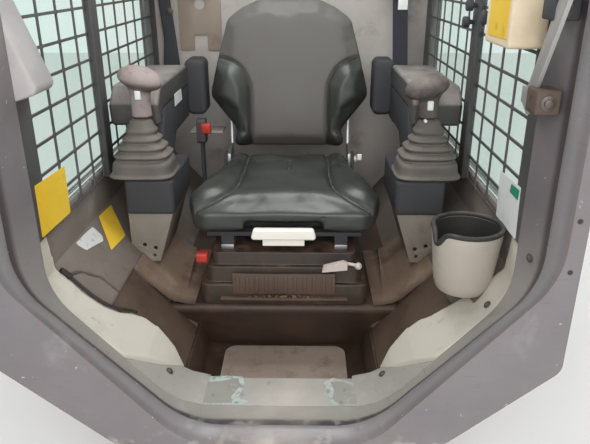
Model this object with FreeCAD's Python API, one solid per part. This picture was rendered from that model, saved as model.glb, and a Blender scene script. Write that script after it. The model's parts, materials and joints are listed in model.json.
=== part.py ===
import FreeCAD, Part
import math
import os

# Operator cab of a skid steer loader, seen from its open front.
# Millimetres. X to the right, Y to the rear, Z up, the front face looks along -Y.
# The origin is below the middle of the cab, on the surface that it stands on.
# Paired pieces are drawn on the right side.

V = FreeCAD.Vector

# Whole cab
cab_width = 980.0
cab_depth = 1300.0
cab_height = 1430.0
sheet = 6.0
seat_gap = 0.5
slide_gap = 0.3
overcut = 10.0
front_y = -cab_depth / 2
rear_y = cab_depth / 2

# Roof over the frame
roof_height = 35.0
roof_overhang = 10.0
roof_skin = 8.0
roof_rim = 18.0
roof_slope = 20.0
roof_corner = 45.0
hatch_ledge = 15.0
hatch_glass = 6.0
hatch_corner = 50.0

# Front frame round the entrance
frame_half = cab_width / 2 - roof_overhang
frame_top_z = cab_height - roof_height
frame_depth = 130.0
frame_back_y = front_y + frame_depth
frame_corner = 30.0

# Footwell, sill tread and deck
floor_z = 106.0
floor_half = 190.0
floor_back_y = -160.0
tub_corner = 24.0
tread_z = floor_z + 94.0
tread_half = floor_half + 16.0
tread_front = 75.0
tread_back_y = frame_back_y + 100.0
tread_bend = 14.0
deck_z = tread_z + 70.0
deck_front_y = floor_back_y - 98.0
foot_plate_half = floor_half - 38.0
foot_plate_thick = 4.0
foot_plate_margin = 6.0
foot_plate_corner = 30.0

# Lower panels, walls and sills
wall_outer = frame_half - 2.0
panel_x = frame_half - 33.0
panel_toe_x = tread_half + sheet
panel_knee_z = tread_z + 265.5
sill_z = panel_knee_z + 75.5
panel_rise = (panel_knee_z - tread_z) / (panel_x - panel_toe_x)
wall_bottom_z = tread_z + 185.0
rear_wall_y = rear_y - 80.0

# Base rails with their front lugs
rail_inner_x = panel_toe_x + sheet
rail_width = 46.0
lug_length = 60.0
lug_thick = 20.0
lug_bore = 9.0

# Outer corners of the frame, right half from top to bottom: half width, height
frame_corners = (
    (frame_half, frame_top_z),
    (frame_half, wall_bottom_z - 5.0),
    (rail_inner_x + rail_width - 2.0, tread_z - 8.0),
    (rail_inner_x + 17.0, tread_z - 150.0),
)

# Sections of the entrance, from the front lip over a ridge and a seal groove to the back edge.
# depth, how far the post, the sill's end and the head stand in from the frame's outline, sill height
entrance_sections = (
    (0.0, 26.0, 320.0, 31.0, tread_z + 12.0),
    (32.0, 40.0, 315.0, 45.0, tread_z + 25.0),
    (44.0, 40.0, 315.0, 45.0, tread_z + 25.0),
    (52.0, 33.0, 308.0, 38.0, tread_z + 17.0),
    (64.0, 35.0, 306.0, 40.0, tread_z + 16.0),
    (frame_depth, 55.0, 280.0, 60.0, tread_z),
)
entrance_knee_z = sill_z + 9.0
entrance_knee_drop = 98.0
head_corner = 60.0
sill_corner = 150.0

# Side windows with their frames, glass and guard screens
frame_inner_x = frame_half - 34.0
window_front_y = frame_back_y + 35.0
window_rear_y = rear_wall_y - 50.0
window_bottom_z = sill_z + 15.0
window_top_z = frame_top_z - 60.0
window_corner = 40.0
glass_x = frame_inner_x + 10.0
glass_thick = 5.0
screen_thick = 8.0
screen_bar = 7.0
screen_pitch_y = 91.6
screen_pitch_z = 55.6
screen_face_x = frame_inner_x - screen_thick
post_y = frame_back_y + 442.0
post_width = 46.0
post_thick = 14.0
screen_front_line = frame_back_y + 76.0
screen_rear_line = post_y + 115.0

# Rear window, legs and tilt pivots
rear_window_half = frame_half - 180.0
rear_window_bottom = frame_top_z - 445.0
rear_window_top = frame_top_z - 95.0
leg_width = 70.0
leg_wall = 5.0
pivot_bore = 13.0
pivot_boss = 26.0
pivot_z = 60.0

# Roof hatch
hatch_half = frame_half - 210.0
hatch_front_y = frame_back_y + 190.0
hatch_rear_y = rear_wall_y - 340.0

# Consoles, levers, boots and armrests
console_inner_x = frame_half - 218.0
console_outer_x = console_inner_x + 114.0
console_bottom_z = panel_knee_z + 0.5
console_top_z = console_bottom_z + 86.0
console_front_y = -160.0
console_back_y = console_front_y + 230.0
console_corner = 9.0
console_edge = 5.0
lever_x = console_inner_x + 72.0
lever_y = console_front_y + 57.0
lever_tilt = -7.0
boot_x = lever_x + 2.0
boot_depth_share = 0.88
# height above the console, half width, corner radius
boot_sections = (
    (0.0, 78.0, 20.0),
    (9.0, 78.0, 20.0),
    (13.0, 73.0, 19.0),
    (38.0, 70.0, 19.0),
    (44.0, 60.0, 17.0),
    (52.0, 68.0, 19.0),
    (61.0, 50.0, 16.0),
    (70.0, 57.0, 17.0),
    (80.0, 38.0, 14.0),
    (89.0, 45.0, 15.0),
    (97.0, 36.0, 14.0),
    (138.0, 26.0, 13.0),
)
boot_top_z = console_top_z + boot_sections[-1][0]
# radius, height above the boot
lever_profile = (
    (0.0, 0.0),
    (23.0, 0.0),
    (22.0, 28.0),
    (27.0, 48.0),
    (47.0, 56.0),
    (53.0, 72.0),
    (48.0, 94.0),
    (33.0, 110.0),
    (0.0, 118.0),
)
arm_inner_x = console_inner_x + 40.0
arm_outer_x = console_inner_x + 159.0
arm_bottom_z = console_top_z + 138.0
arm_thick = 60.0
arm_corner = 9.0
arm_edge = 6.0
# distance behind the console's front, height above the armrest's underside
arm_profile = (
    (98.0, -38.0),
    (92.0, 20.0),
    (138.0, arm_thick),
    (490.0, arm_thick),
    (490.0, 0.0),
    (166.0, 0.0),
    (126.0, -20.0),
)
column_rear_y = console_front_y + arm_profile[3][0]
column_profile = (
    (130.0, console_top_z - arm_bottom_z - 20.0),
    (138.0, -60.0),
    (176.0, 0.0),
    (490.0, 0.0),
    (490.0, -90.0),
    (290.0, -90.0),
    (220.0, console_top_z - arm_bottom_z - 20.0),
)
column_inset = 2.0
# holes of the bracket under the console: place beyond its inner edge, height below the console, radius
bracket_inset = 6.0
bracket_setback = 12.0
bracket_length = 208.0
bracket_foot_inset = 46.0
bracket_foot_z = console_bottom_z - 128.0
bracket_holes = ((56.0, 92.0, 5.0), (82.0, 84.0, 5.0), (60.0, 112.0, 4.0))

# Seat
cushion_half = console_inner_x - 22.0
cushion_front_y = -230.0
cushion_rear_y = 262.0
cushion_bottom_z = deck_z + 166.0
cushion_top_z = cushion_bottom_z + 94.0
cushion_corner = 34.0
# inset from the cushion's half width, distance behind its front
cushion_plan = ((36.0, 0.0), (14.0, 80.0), (32.0, 190.0), (62.0, 330.0), (80.0, 492.0))
# distance behind the cushion's front, height above or below its top
cushion_crown = ((492.0, -34.0), (240.0, -4.0), (70.0, 4.0), (0.0, -30.0))
base_half = cushion_half - 44.0
base_front_y = cushion_front_y - 10.0
base_rear_y = cushion_rear_y
base_corner = 18.0
# top height above the deck, step in from the foot
base_tiers = ((52.0, 0.0), (92.0, 14.0), (124.0, 26.0))
base_top_z = deck_z + base_tiers[-1][0]
tray_half = 78.0
tray_depth = 16.0
pan_half = cushion_half - 58.0
pan_front_y = cushion_front_y + 40.0
pan_rear_y = cushion_rear_y - 4.0
pan_thick = 10.0
pan_z = cushion_bottom_z - seat_gap - pan_thick
rail_gauge = pan_half - 48.0
rail_bar = 30.0
rail_shortfall = 30.0
slide_height = 12.0
handle_half = 76.0
handle_rise = 26.0
handle_depth = 18.0
handle_stalk_half = 48.0
handle_notch = handle_half + 12.0
notch_height = 34.0

# Backrest, drawn upright and then leant back about its hinge
hinge_y = cushion_rear_y + 38.0
hinge_z = cushion_bottom_z + 34.0
hinge_pin = 7.0
hinge_pin_length = 16.0
backrest_lean = 8.0
backrest_front_y = hinge_y - 24.0
backrest_thick = 80.0
backrest_corner = 26.0
backrest_edge = 10.0
shell_thick = 18.0
shell_inset = 10.0
shell_edge = 5.0
# inset from the cushion's half width, height above the hinge
backrest_corners = (
    (157.0, 464.0),
    (103.0, 440.0),
    (62.0, 409.0),
    (30.0, 303.0),
    (4.0, 200.0),
    (60.0, 126.0),
    (80.0, 100.0),
    (80.0, 42.0),
)
backrest_middle = 250.0
bracket_top = 230.0
ear_x = pan_half + 6.0
ear_thick = 9.0
ear_length = 60.0
# y and z from the hinge: the ear on the pan, the recline lever
ear_profile = ((22.0, 20.0), (-18.0, 20.0), (-22.0, -34.0 - seat_gap))
recline_profile = ((-60.0, 14.0), (10.0, -8.0), (14.0, 8.0), (-58.0, 34.0))
recline_standoff = 7.0
recline_thick = 12.0
recline_hub = 9.0

# Restraint bar, stored raised
bar_pivot_y = rear_wall_y - 120.0
bar_pivot_z = frame_top_z - 395.0
bar_reach = 500.0
bar_raised = 37.0
bar_x = cushion_half + 34.5
bar_tube = 12.5
bar_bend = 70.0
bar_eye = 22.0
bar_eye_lap = 4.0
bar_pin = 10.0
bar_clear = 5.0
bar_plate = 8.0
bar_plate_foot = 50.0
bar_plate_nose = 24.0
bar_plate_tip = 8.0
bar_pad_half = bar_x - bar_bend - 44.5
bar_pad_radius = 26.0

# Corner trims between the frame and the lower panels
# rear edges: share of the panel's run from its toe, distance behind the frame
trim_toe_edge = ((-0.14, 100.0), (0.0, 118.0), (0.1, 140.0), (0.22, 149.0), (0.36, 146.0), (0.45, 132.0))
trim_left_edge = trim_toe_edge + ((0.52, 106.0), (0.62, 88.0), (0.74, 82.0), (0.88, 78.0), (1.02, 70.0))
trim_right_edge = trim_toe_edge + ((0.6, 118.0), (0.8, 100.0), (1.02, 84.0))
trim_edge_bend = 30.0
# share of the panel's run from its toe, height above the panel's slope
trim_face = ((0.957, 12.0), (0.77, 6.0), (0.426, 16.0), (0.238, 26.0), (0.08, 22.0), (0.0, 12.0))
trim_top_inset = 3.0
# wall round the left trim's pocket, which the panel closes behind: shares of the panel's run, reach, height
pocket_rim = ((0.44, 126.0), (0.47, 148.0), (0.56, 172.0), (0.74, 166.0), (0.86, 130.0), (0.93, 68.0))
pocket_wall = 3.0
pocket_rise = 9.0

# Curved corners of the sill: distance outward of the tread's side, height above the tread
sill_corner_rise = ((-56.0, 0.0), (-16.0, 10.0), (6.0, 22.0), (39.0, 50.0), (94.0, 112.0))
sill_corner_reach = 8.0

# Cup holder
cup_x = panel_x - 79.0
cup_y = frame_back_y + 120.0
cup_foot_z = panel_knee_z - 69.5
cup_floor_z = cup_foot_z + 52.0
cup_rim_z = cup_foot_z + 146.0
cup_radius = 70.0
cup_foot = 52.0
cup_wall = 4.0
liner_height = 14.0
liner_wall = 5.0

# Instrument pod at the left post: distance in from the screen, height above the sill
pod_outline = ((0.0, 260.0), (53.0, 277.0), (9.0, 399.0), (0.0, 424.0))
pod_radii = (0.0, 14.0, 24.0, 0.0)
pod_depth = 80.0

# Flat grab bar at the right post: depth behind the frame's face and height above the sill of its ends
grab_x = frame_inner_x - 36.0
grab_thick = 6.0
grab_width = 30.0
grab_ends = ((30.0, 475.0), (150.0, 262.0))
grab_foot = 26.0

# Box on the right screen, beyond the frame: distances behind it, heights above the sill
side_box_y = (40.0, 180.0)
side_box_z = (343.0, 469.0)
side_box_depth = 62.0
side_box_corner = 8.0

# Clamp knobs on the right window post: distance behind the post's middle, height above the sill
latch_places = ((-10.0, 393.0), (8.0, 357.0))
latch_stud = 5.0
latch_stud_length = 10.0
latch_knob = 12.0
latch_knob_length = 14.0

# Bracket plate on the rear wall, left of the backrest
plate_x = cushion_half + 54.0
plate_half = 69.0
plate_top_z = bar_pivot_z - 58.0
plate_height = 177.0
plate_corner = 8.0
plate_hole = 17.0
plate_hole_drop = 34.0
notch_half = 22.0
notch_top = 48.0

# Pads behind the armrests
rear_pad_start = cushion_half + 10.0
rear_pad_width = 62.0
rear_pad_bottom_z = console_top_z + 48.0
rear_pad_height = 165.0
rear_pad_thick = 84.0
rear_pad_corner = 20.0
rear_pad_edge = 8.0

# Weight lever and release button at the seat's foot
weight_lever_x = (94.0, 182.0)
weight_lever_z = (18.0, 34.0)
weight_lever_tip = 10.0
weight_lever_thick = 24.0
button_y = (-170.0, -134.0)
button_z = (8.0, 36.0)
button_depth = 20.0

# Belt: reel, strap and buckle
belt_x = console_inner_x + 77.0
belt_width = 46.0
belt_thick = 3.0
belt_anchor_z = frame_top_z - 275.0
belt_anchor_height = 8.0
reel_margin = 3.0
reel_bottom_z = console_top_z + 24.0
reel_height = 88.0
reel_corner = 8.0
reel_slot = 54.0
buckle_y = cushion_rear_y - 112.0
buckle_foot = 28.0
buckle_reach = 62.0
buckle_stalk = 8.0
buckle_z = (cushion_bottom_z + 124.0, cushion_bottom_z + 190.0)
buckle_half = (24.0, 20.0)
buckle_thick = 24.0
buckle_corner = 8.0


def place(plane, u, v, w):
    """A point of a sketch: the plane names the axes of u and v, and w lies along the third."""
    if plane == "xz":
        return V(u, w, v)
    if plane == "yz":
        return V(w, u, v)
    return V(u, v, w)


def outline(corners, radius=0.0):
    """Closed wire through the corners, each turned by an arc of the radius or of its own one."""
    radii = radius if isinstance(radius, (list, tuple)) else [radius] * len(corners)
    turns = []
    for i, corner in enumerate(corners):
        before = (corners[i - 1] - corner).normalize()
        after = (corners[(i + 1) % len(corners)] - corner).normalize()
        half_angle = before.getAngle(after) / 2
        reach = radii[i] / math.tan(half_angle)
        inward = (before + after).normalize()
        middle = corner + inward * (radii[i] / math.sin(half_angle) - radii[i])
        turns.append((corner + before * reach, middle, corner + after * reach))
    edges = []
    for i, (start, middle, end) in enumerate(turns):
        if radii[i] > 0:
            edges.append(Part.Arc(start, middle, end).toShape())
        next_start = turns[(i + 1) % len(turns)][0]
        if (next_start - end).Length > 0.01:
            edges.append(Part.LineSegment(end, next_start).toShape())
    return Part.Wire(edges)


def prism(plane, points, start, end, radius=0.0):
    """Solid of a sketched outline, extruded from start to end along the third axis."""
    face = Part.Face(outline([place(plane, u, v, start) for u, v in points], radius))
    return face.extrude(place(plane, 0, 0, end - start))


def block(x0, x1, y0, y1, z0, z1):
    return Part.makeBox(x1 - x0, y1 - y0, z1 - z0, V(x0, y0, z0))


def cylinder(radius, start, end):
    axis = end - start
    return Part.makeCylinder(radius, axis.Length, start, axis)


def rectangle(u0, u1, v0, v1):
    return [(u0, v0), (u1, v0), (u1, v1), (u0, v1)]


def symmetric(right_half):
    """Outline from its right half, listed from top to bottom."""
    return list(right_half) + [(-u, v) for u, v in reversed(right_half)]


def strip(points, thickness):
    """Outline of a bent sheet: the points and their copy, set off to the right of the run."""
    offset = []
    count = len(points)
    for i, (u, v) in enumerate(points):
        normals = []
        for a, b in ((i - 1, i), (i, i + 1)):
            if a >= 0 and b < count:
                du = points[b][0] - points[a][0]
                dv = points[b][1] - points[a][1]
                length = math.hypot(du, dv)
                normals.append((dv / length, -du / length))
        nu = sum(n[0] for n in normals)
        nv = sum(n[1] for n in normals)
        scale = thickness * len(normals) / (nu * nu + nv * nv)
        offset.append((u + nu * scale, v + nv * scale))
    return list(points) + offset[::-1]


def strip_radii(count, face_radius, back_radius):
    """Corner radii of a strip of so many points: its bends on the listed face and on the back."""
    bends = count - 2
    return [0.0] + [face_radius] * bends + [0.0, 0.0] + [back_radius] * bends + [0.0]


def chamfered_block(plane, points, start, end, radius, edge):
    """Prism with rounded corners whose two end faces are chamfered all round."""
    solid = prism(plane, points, start, end, radius)
    ends = []
    for item in solid.Edges:
        middle = item.CenterOfMass
        along = {"xz": middle.y, "yz": middle.x, "xy": middle.z}[plane]
        if min(abs(along - start), abs(along - end)) < 0.01:
            ends.append(item)
    return solid.makeChamfer(edge, ends)


def tube(points, radius, bend):
    """Round bar along straight runs joined by turned bends."""
    solids = []
    start = points[0]
    for before, corner, after in zip(points, points[1:], points[2:]):
        inward = (before - corner).normalize()
        outward = (after - corner).normalize()
        half_angle = inward.getAngle(outward) / 2
        reach = bend / math.tan(half_angle)
        arc_start = corner + inward * reach
        centre = corner + (inward + outward).normalize() * (bend / math.sin(half_angle))
        solids.append(cylinder(radius, start, arc_start))
        ring = Part.Face(Part.Wire(Part.makeCircle(radius, arc_start, inward)))
        axis = inward.cross(arc_start - centre)
        solids.append(ring.revolve(centre, axis, 180 - math.degrees(2 * half_angle)))
        start = corner + outward * reach
    solids.append(cylinder(radius, start, points[-1]))
    return solids[0].fuse(solids[1:]).removeSplitter()


def mirrored(solid):
    return solid.mirror(V(0, 0, 0), V(1, 0, 0))


def panel_line():
    """Inner face of the lower panel, from the window sill down to the tread."""
    return [(panel_x, sill_z), (panel_x, panel_knee_z), (panel_toe_x, tread_z)]


def panel_z(x):
    return tread_z + (x - panel_toe_x) * panel_rise


def panel_under(x):
    return panel_z(x) - sheet * math.sqrt(1 + panel_rise * panel_rise)


def tub_space():
    """Clear room between the lower panels, down to the footwell's floor."""
    right = panel_line() + [(tread_half, tread_z), (floor_half, floor_z)]
    radii = [0.0, 0.0, 0.0, 0.0, tub_corner]
    return prism("xz", symmetric(right), frame_back_y, rear_wall_y, radii + radii[::-1])


def entrance():
    wires = []
    for depth, post_inset, sill_inset, head_inset, sill_height in entrance_sections:
        half = frame_half - post_inset
        knee_z = entrance_knee_z - entrance_knee_drop * depth / frame_depth
        right = [(half, frame_top_z - head_inset), (half, knee_z), (frame_half - sill_inset, sill_height)]
        radii = [head_corner, sill_corner, sill_corner]
        corners = [V(x, front_y + depth, z) for x, z in symmetric(right)]
        wires.append(outline(corners, radii + radii[::-1]))
    return Part.makeLoft(wires, True, True)


def front_frame():
    radii = [0.0] + [frame_corner] * (len(frame_corners) - 1)
    blank = prism("xz", symmetric(frame_corners), front_y, frame_back_y, radii + radii[::-1])
    profile = [(tread_half + out, tread_z + rise) for out, rise in reversed(sill_corner_rise)]
    tread = prism("xz", symmetric(profile), front_y + tread_front, frame_back_y)
    return blank.cut(entrance()).cut(tread)


def sill_corner_plan():
    """Room over the sill and its corner, up to the slanted rear edge."""
    wide = tread_half + sill_corner_rise[-1][0]
    points = [(0, frame_back_y), (wide, frame_back_y), (tread_half + sill_corner_reach, tread_back_y),
              (0, tread_back_y)]
    return prism("xy", points, tread_z, sill_z)


def sill_step():
    """Tread behind the frame, with the corners that curve up to the lower panels."""
    run = [(frame_back_y, tread_z), (tread_back_y, tread_z), (tread_back_y, floor_z)]
    radii = strip_radii(len(run), tread_bend, tread_bend - sheet)
    step = prism("yz", strip(run, sheet), -tread_half, tread_half, radii).common(tub_space())
    top = [(tread_half + out, tread_z + rise) for out, rise in sill_corner_rise]
    under = [(top[-1][0], panel_z(top[-1][0])), (panel_toe_x, tread_z)]
    corner = prism("xz", top + under, frame_back_y, tread_back_y).common(sill_corner_plan())
    return step.fuse([corner, mirrored(corner)]).removeSplitter()


def footwell():
    run = [(-tread_half, tread_z), (-floor_half, floor_z), (floor_half, floor_z), (tread_half, tread_z)]
    radii = strip_radii(len(run), tub_corner, tub_corner + sheet)
    return prism("xz", strip(run, sheet), frame_back_y, floor_back_y + 2 * sheet, radii)


def foot_plate():
    points = rectangle(-foot_plate_half, foot_plate_half,
                       tread_back_y + foot_plate_margin, floor_back_y - 2 * foot_plate_margin)
    radii = [foot_plate_margin, foot_plate_margin, foot_plate_corner, foot_plate_corner]
    return prism("xy", points, floor_z, floor_z + foot_plate_thick, radii)


def seat_platform():
    run = [(floor_back_y, floor_z), (deck_front_y, deck_z), (rear_wall_y, deck_z)]
    radii = strip_radii(len(run), tread_bend, tread_bend - sheet)
    return prism("yz", strip(run, sheet), -frame_half, frame_half, radii).common(tub_space())


def lower_panel():
    return prism("xz", strip(panel_line()[::-1], sheet), frame_back_y, rear_wall_y)


def window_outline(clear):
    return rectangle(window_front_y + clear, window_rear_y - clear, window_bottom_z + clear, window_top_z - clear)


def side_wall():
    """Outer skin with its window cut, a foot flange and the ledge under the window."""
    skin_x = wall_outer - sheet
    skin = block(skin_x, wall_outer, frame_back_y, rear_wall_y, wall_bottom_z, frame_top_z)
    skin = skin.cut(prism("yz", window_outline(0.0), skin_x - sheet, wall_outer + sheet, window_corner))
    flange_x = panel_toe_x + (wall_bottom_z - tread_z) / panel_rise + sheet
    flange = block(flange_x, skin_x, frame_back_y, rear_wall_y, wall_bottom_z, wall_bottom_z + sheet)
    ledge = block(panel_x + sheet, skin_x, frame_back_y, rear_wall_y, sill_z - sheet, sill_z)
    return skin.fuse([flange, ledge]).removeSplitter().cut(lower_panel())


def window_frame():
    ring = block(frame_inner_x, wall_outer - sheet, frame_back_y, rear_wall_y, sill_z, frame_top_z)
    return ring.cut(prism("yz", window_outline(0.0), frame_inner_x - sheet, wall_outer, window_corner))


def window_glass():
    return prism("yz", window_outline(seat_gap), glass_x, glass_x + glass_thick, window_corner - seat_gap)


def screen_columns():
    """Front and rear edge of each column of openings: before the post, beside it and behind it."""
    half_post = (post_width - screen_bar) / 2
    lines = [screen_front_line]
    while lines[-1] + screen_pitch_y < post_y - half_post:
        lines.append(lines[-1] + screen_pitch_y)
    front = lines + [post_y - half_post]
    rear = [post_y + half_post, screen_rear_line]
    while rear[-1] + screen_pitch_y < window_rear_y:
        rear.append(rear[-1] + screen_pitch_y)
    return list(zip(front, front[1:])) + list(zip(rear, rear[1:]))


def screen():
    """Punched guard plate with rows of openings in front of and behind the post."""
    half_bar = screen_bar / 2
    rows = int((window_top_z - sill_z) / screen_pitch_z)
    rectangles = [rectangle(frame_back_y, rear_wall_y, sill_z, frame_top_z)]
    for start, end in screen_columns():
        for row in range(rows):
            low = sill_z + row * screen_pitch_z
            rectangles.append(rectangle(start + half_bar, end - half_bar,
                                        low + half_bar, low + screen_pitch_z - half_bar))
    wires = [outline([V(screen_face_x, y, z) for y, z in corners]) for corners in rectangles]
    face = Part.Face(wires)
    face.validate()
    return face.extrude(V(screen_thick, 0, 0))


def window_post():
    points = rectangle(screen_face_x - post_thick, screen_face_x, post_y - post_width / 2, post_y + post_width / 2)
    return prism("xy", points, sill_z, frame_top_z, [4.0, 0.0, 0.0, 4.0])


def rear_window(clear):
    half = rear_window_half - clear
    return symmetric([(half, rear_window_top - clear), (half, rear_window_bottom + clear)])


def rear_wall():
    """Wall behind the seat, drawn in over the lower panels, with its window cut."""
    low_x = panel_toe_x + (deck_z - tread_z) / panel_rise + sheet
    wide_x = panel_toe_x + (wall_bottom_z - tread_z) / panel_rise + sheet
    right = [(wall_outer, frame_top_z), (wall_outer, wall_bottom_z), (wide_x, wall_bottom_z),
             (low_x, deck_z - sheet)]
    wall = prism("xz", symmetric(right), rear_wall_y, rear_wall_y + sheet)
    return wall.cut(prism("xz", rear_window(0.0), rear_wall_y - sheet, rear_wall_y + 2 * sheet, window_corner))


def rear_glass():
    y0 = rear_wall_y + (sheet - glass_thick) / 2
    return prism("xz", rear_window(seat_gap), y0, y0 + glass_thick, window_corner - seat_gap)


def rear_leg():
    """Box-section leg with the cross bore that the cab tilts on."""
    y0 = rear_wall_y + sheet
    x0 = wall_outer - leg_width
    outer = block(x0, wall_outer, y0, rear_y, 0, frame_top_z)
    inner = block(x0 + leg_wall, wall_outer - leg_wall, y0 + leg_wall, rear_y - leg_wall, 0, frame_top_z)
    centre_y = (y0 + rear_y) / 2
    start = V(x0, centre_y, pivot_z)
    end = V(wall_outer, centre_y, pivot_z)
    return outer.cut(inner).fuse(cylinder(pivot_boss, start, end)).cut(cylinder(pivot_bore, start, end))


def base_rail():
    """Closed rail under the lower panel with a drilled lug at its front."""
    x0 = rail_inner_x
    x1 = rail_inner_x + rail_width
    outer = [(x0, 0), (x1, 0), (x1, panel_under(x1)), (x0, panel_under(x0))]
    roof_gap = 1.5 * sheet
    inner = [
        (x0 + sheet, sheet),
        (x1 - sheet, sheet),
        (x1 - sheet, panel_under(x1 - sheet) - roof_gap),
        (x0 + sheet, panel_under(x0 + sheet) - roof_gap),
    ]
    lug_end = frame_back_y + lug_length
    rail = prism("xz", outer, frame_back_y, rear_wall_y)
    rail = rail.cut(prism("xz", inner, lug_end, rear_wall_y))
    lug_space = prism("xz", inner, frame_back_y, lug_end).cut(block(x0, x1, frame_back_y, lug_end, 0, lug_thick))
    middle = V((x0 + x1) / 2, (frame_back_y + lug_end) / 2, 0)
    return rail.cut(lug_space).cut(cylinder(lug_bore, middle, middle + V(0, 0, lug_thick)))


def roof_block(inset, z0, z1):
    """Lofted cap between z0 and z1, its sides leaning in by the roof's slope."""
    wires = []
    for z in (z0, z1):
        lean = roof_slope * (z - frame_top_z) / roof_height
        half_x = cab_width / 2 - inset - lean
        half_y = cab_depth / 2 - inset - lean
        corners = [V(x, y, z) for x, y in rectangle(-half_x, half_x, -half_y, half_y)]
        wires.append(outline(corners, roof_corner - inset))
    return Part.makeLoft(wires, True, True)


def hatch_outline(clear):
    half = hatch_half - clear
    return rectangle(-half, half, hatch_front_y + clear, hatch_rear_y - clear)


def roof():
    """Shallow cap with a hatch opening and the ledge that its pane rests on."""
    skin_z = cab_height - roof_skin
    cap = roof_block(0.0, frame_top_z, cab_height).cut(roof_block(roof_rim, frame_top_z, skin_z))
    cap = cap.cut(prism("xy", hatch_outline(0.0), skin_z - overcut, cab_height + overcut, hatch_corner))
    ledge = prism("xy", hatch_outline(-hatch_ledge), skin_z - roof_skin, skin_z, hatch_corner)
    ledge = ledge.cut(prism("xy", hatch_outline(hatch_ledge), skin_z - 2 * roof_skin, cab_height,
                            hatch_corner - hatch_ledge))
    return cap.fuse(ledge).removeSplitter()


def roof_glass():
    skin_z = cab_height - roof_skin
    return prism("xy", hatch_outline(seat_gap), skin_z, skin_z + hatch_glass, hatch_corner - seat_gap)


def seat_base():
    """Stepped suspension housing with a tray in its front tier."""
    tiers = []
    bottom = deck_z
    for height, step in base_tiers:
        half = base_half - step
        points = rectangle(-half, half, base_front_y + step, base_rear_y - step)
        tiers.append(prism("xy", points, bottom, deck_z + height, base_corner))
        bottom = deck_z + height
    tray_z = deck_z + base_tiers[0][0]
    tray_back = base_front_y + base_tiers[1][1] - 1.0
    tray = block(-tray_half, tray_half, base_front_y - overcut, tray_back, tray_z - tray_depth, tray_z + overcut)
    return tiers[0].fuse(tiers[1:]).removeSplitter().cut(tray)


def seat_rails():
    rails = []
    for x in (-rail_gauge, rail_gauge):
        rails.append(block(x - rail_bar / 2, x + rail_bar / 2, pan_front_y - sheet, pan_rear_y - rail_shortfall,
                           base_top_z, base_top_z + slide_height))
    return Part.makeCompound(rails)


def seat_pan():
    """Seat pan with its runners and the ears that carry the backrest's pins."""
    runner_z = base_top_z + slide_height + slide_gap
    pan = block(-pan_half, pan_half, pan_front_y, pan_rear_y, pan_z, pan_z + pan_thick)
    ear_front_y = pan_rear_y - ear_length
    profile = [(hinge_y + dy, hinge_z + dz) for dy, dz in ear_profile]
    profile = [(ear_front_y, pan_z), (profile[0][0], pan_z)] + profile + [(ear_front_y, pan_z + pan_thick)]
    ear = prism("yz", profile, ear_x, ear_x + ear_thick)
    web = block(pan_half, ear_x, ear_front_y, pan_rear_y, pan_z, pan_z + pan_thick)
    pin = cylinder(hinge_pin, V(ear_x - hinge_pin_length, hinge_y, hinge_z), V(ear_x, hinge_y, hinge_z))
    runner = block(rail_gauge - rail_bar / 2, rail_gauge + rail_bar / 2, pan_front_y, pan_rear_y, runner_z, pan_z)
    side = [ear, web, pin, runner]
    return pan.fuse(side + [mirrored(solid) for solid in side]).removeSplitter()


def seat_cushion():
    """Seat pad: widest near its front, thinner at the rear, notched over the handle."""
    plan = symmetric([(cushion_half - narrow, cushion_front_y + behind) for narrow, behind in cushion_plan])
    pad = prism("xy", plan, cushion_bottom_z, cushion_top_z + overcut, cushion_corner)
    crown = [(cushion_front_y + behind, cushion_top_z + rise) for behind, rise in cushion_crown]
    rear_end = (cushion_rear_y + overcut, crown[0][1])
    front_end = (cushion_front_y - overcut, crown[-1][1])
    side = [(front_end[0], cushion_bottom_z), (rear_end[0], cushion_bottom_z), rear_end] + crown[1:-1] + [front_end]
    pad = pad.common(prism("yz", side, -frame_half, frame_half))
    notch = block(-handle_notch, handle_notch, cushion_front_y - overcut, pan_front_y - 4.0,
                  cushion_bottom_z - overcut, cushion_bottom_z + notch_height)
    return pad.cut(notch)


def release_handle():
    """Slide release handle in the cushion's front notch, on a bent strap from the pan."""
    grip_z = pan_z + 12.0
    taper = 8.0
    points = [(-handle_half, grip_z), (handle_half, grip_z), (handle_half - taper, grip_z + handle_rise),
              (-handle_half + taper, grip_z + handle_rise)]
    grip_y = cushion_front_y - 14.0
    grip = chamfered_block("xz", points, grip_y, grip_y + handle_depth, 7.0, 3.0)
    strap = [(pan_front_y, pan_z + 1.0), (cushion_front_y, pan_z + 1.0), (cushion_front_y, grip_z + overcut)]
    strap = prism("yz", strip(strap[::-1], sheet), -handle_stalk_half, handle_stalk_half)
    return grip.fuse(strap).removeSplitter()


def recline_lever():
    x0 = ear_x + ear_thick
    points = [(hinge_y + dy, hinge_z + dz) for dy, dz in recline_profile]
    arm = prism("yz", points, x0 + recline_standoff, x0 + recline_standoff + recline_thick, 4.0)
    hub = cylinder(recline_hub, V(x0, hinge_y, hinge_z), V(x0 + recline_standoff + overcut / 2, hinge_y, hinge_z))
    return arm.fuse(hub).removeSplitter()


def leant(solid):
    """The backrest's pieces, turned back about the hinge by its lean."""
    turned_back = solid.copy()
    turned_back.rotate(V(0, hinge_y, hinge_z), V(1, 0, 0), -backrest_lean)
    return turned_back


def backrest_outline(inset):
    right = []
    for narrow, rise in backrest_corners:
        end_inset = math.copysign(inset, rise - backrest_middle)
        right.append((cushion_half - narrow - inset, hinge_z + rise - end_inset))
    return symmetric(right)


def backrest_cushion():
    return leant(chamfered_block("xz", backrest_outline(0.0), backrest_front_y, backrest_front_y + backrest_thick,
                                 backrest_corner, backrest_edge))


def backrest_shell():
    y0 = backrest_front_y + backrest_thick + seat_gap
    return leant(chamfered_block("xz", backrest_outline(shell_inset), y0, y0 + shell_thick,
                                 backrest_corner - 2.0, shell_edge))


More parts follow.
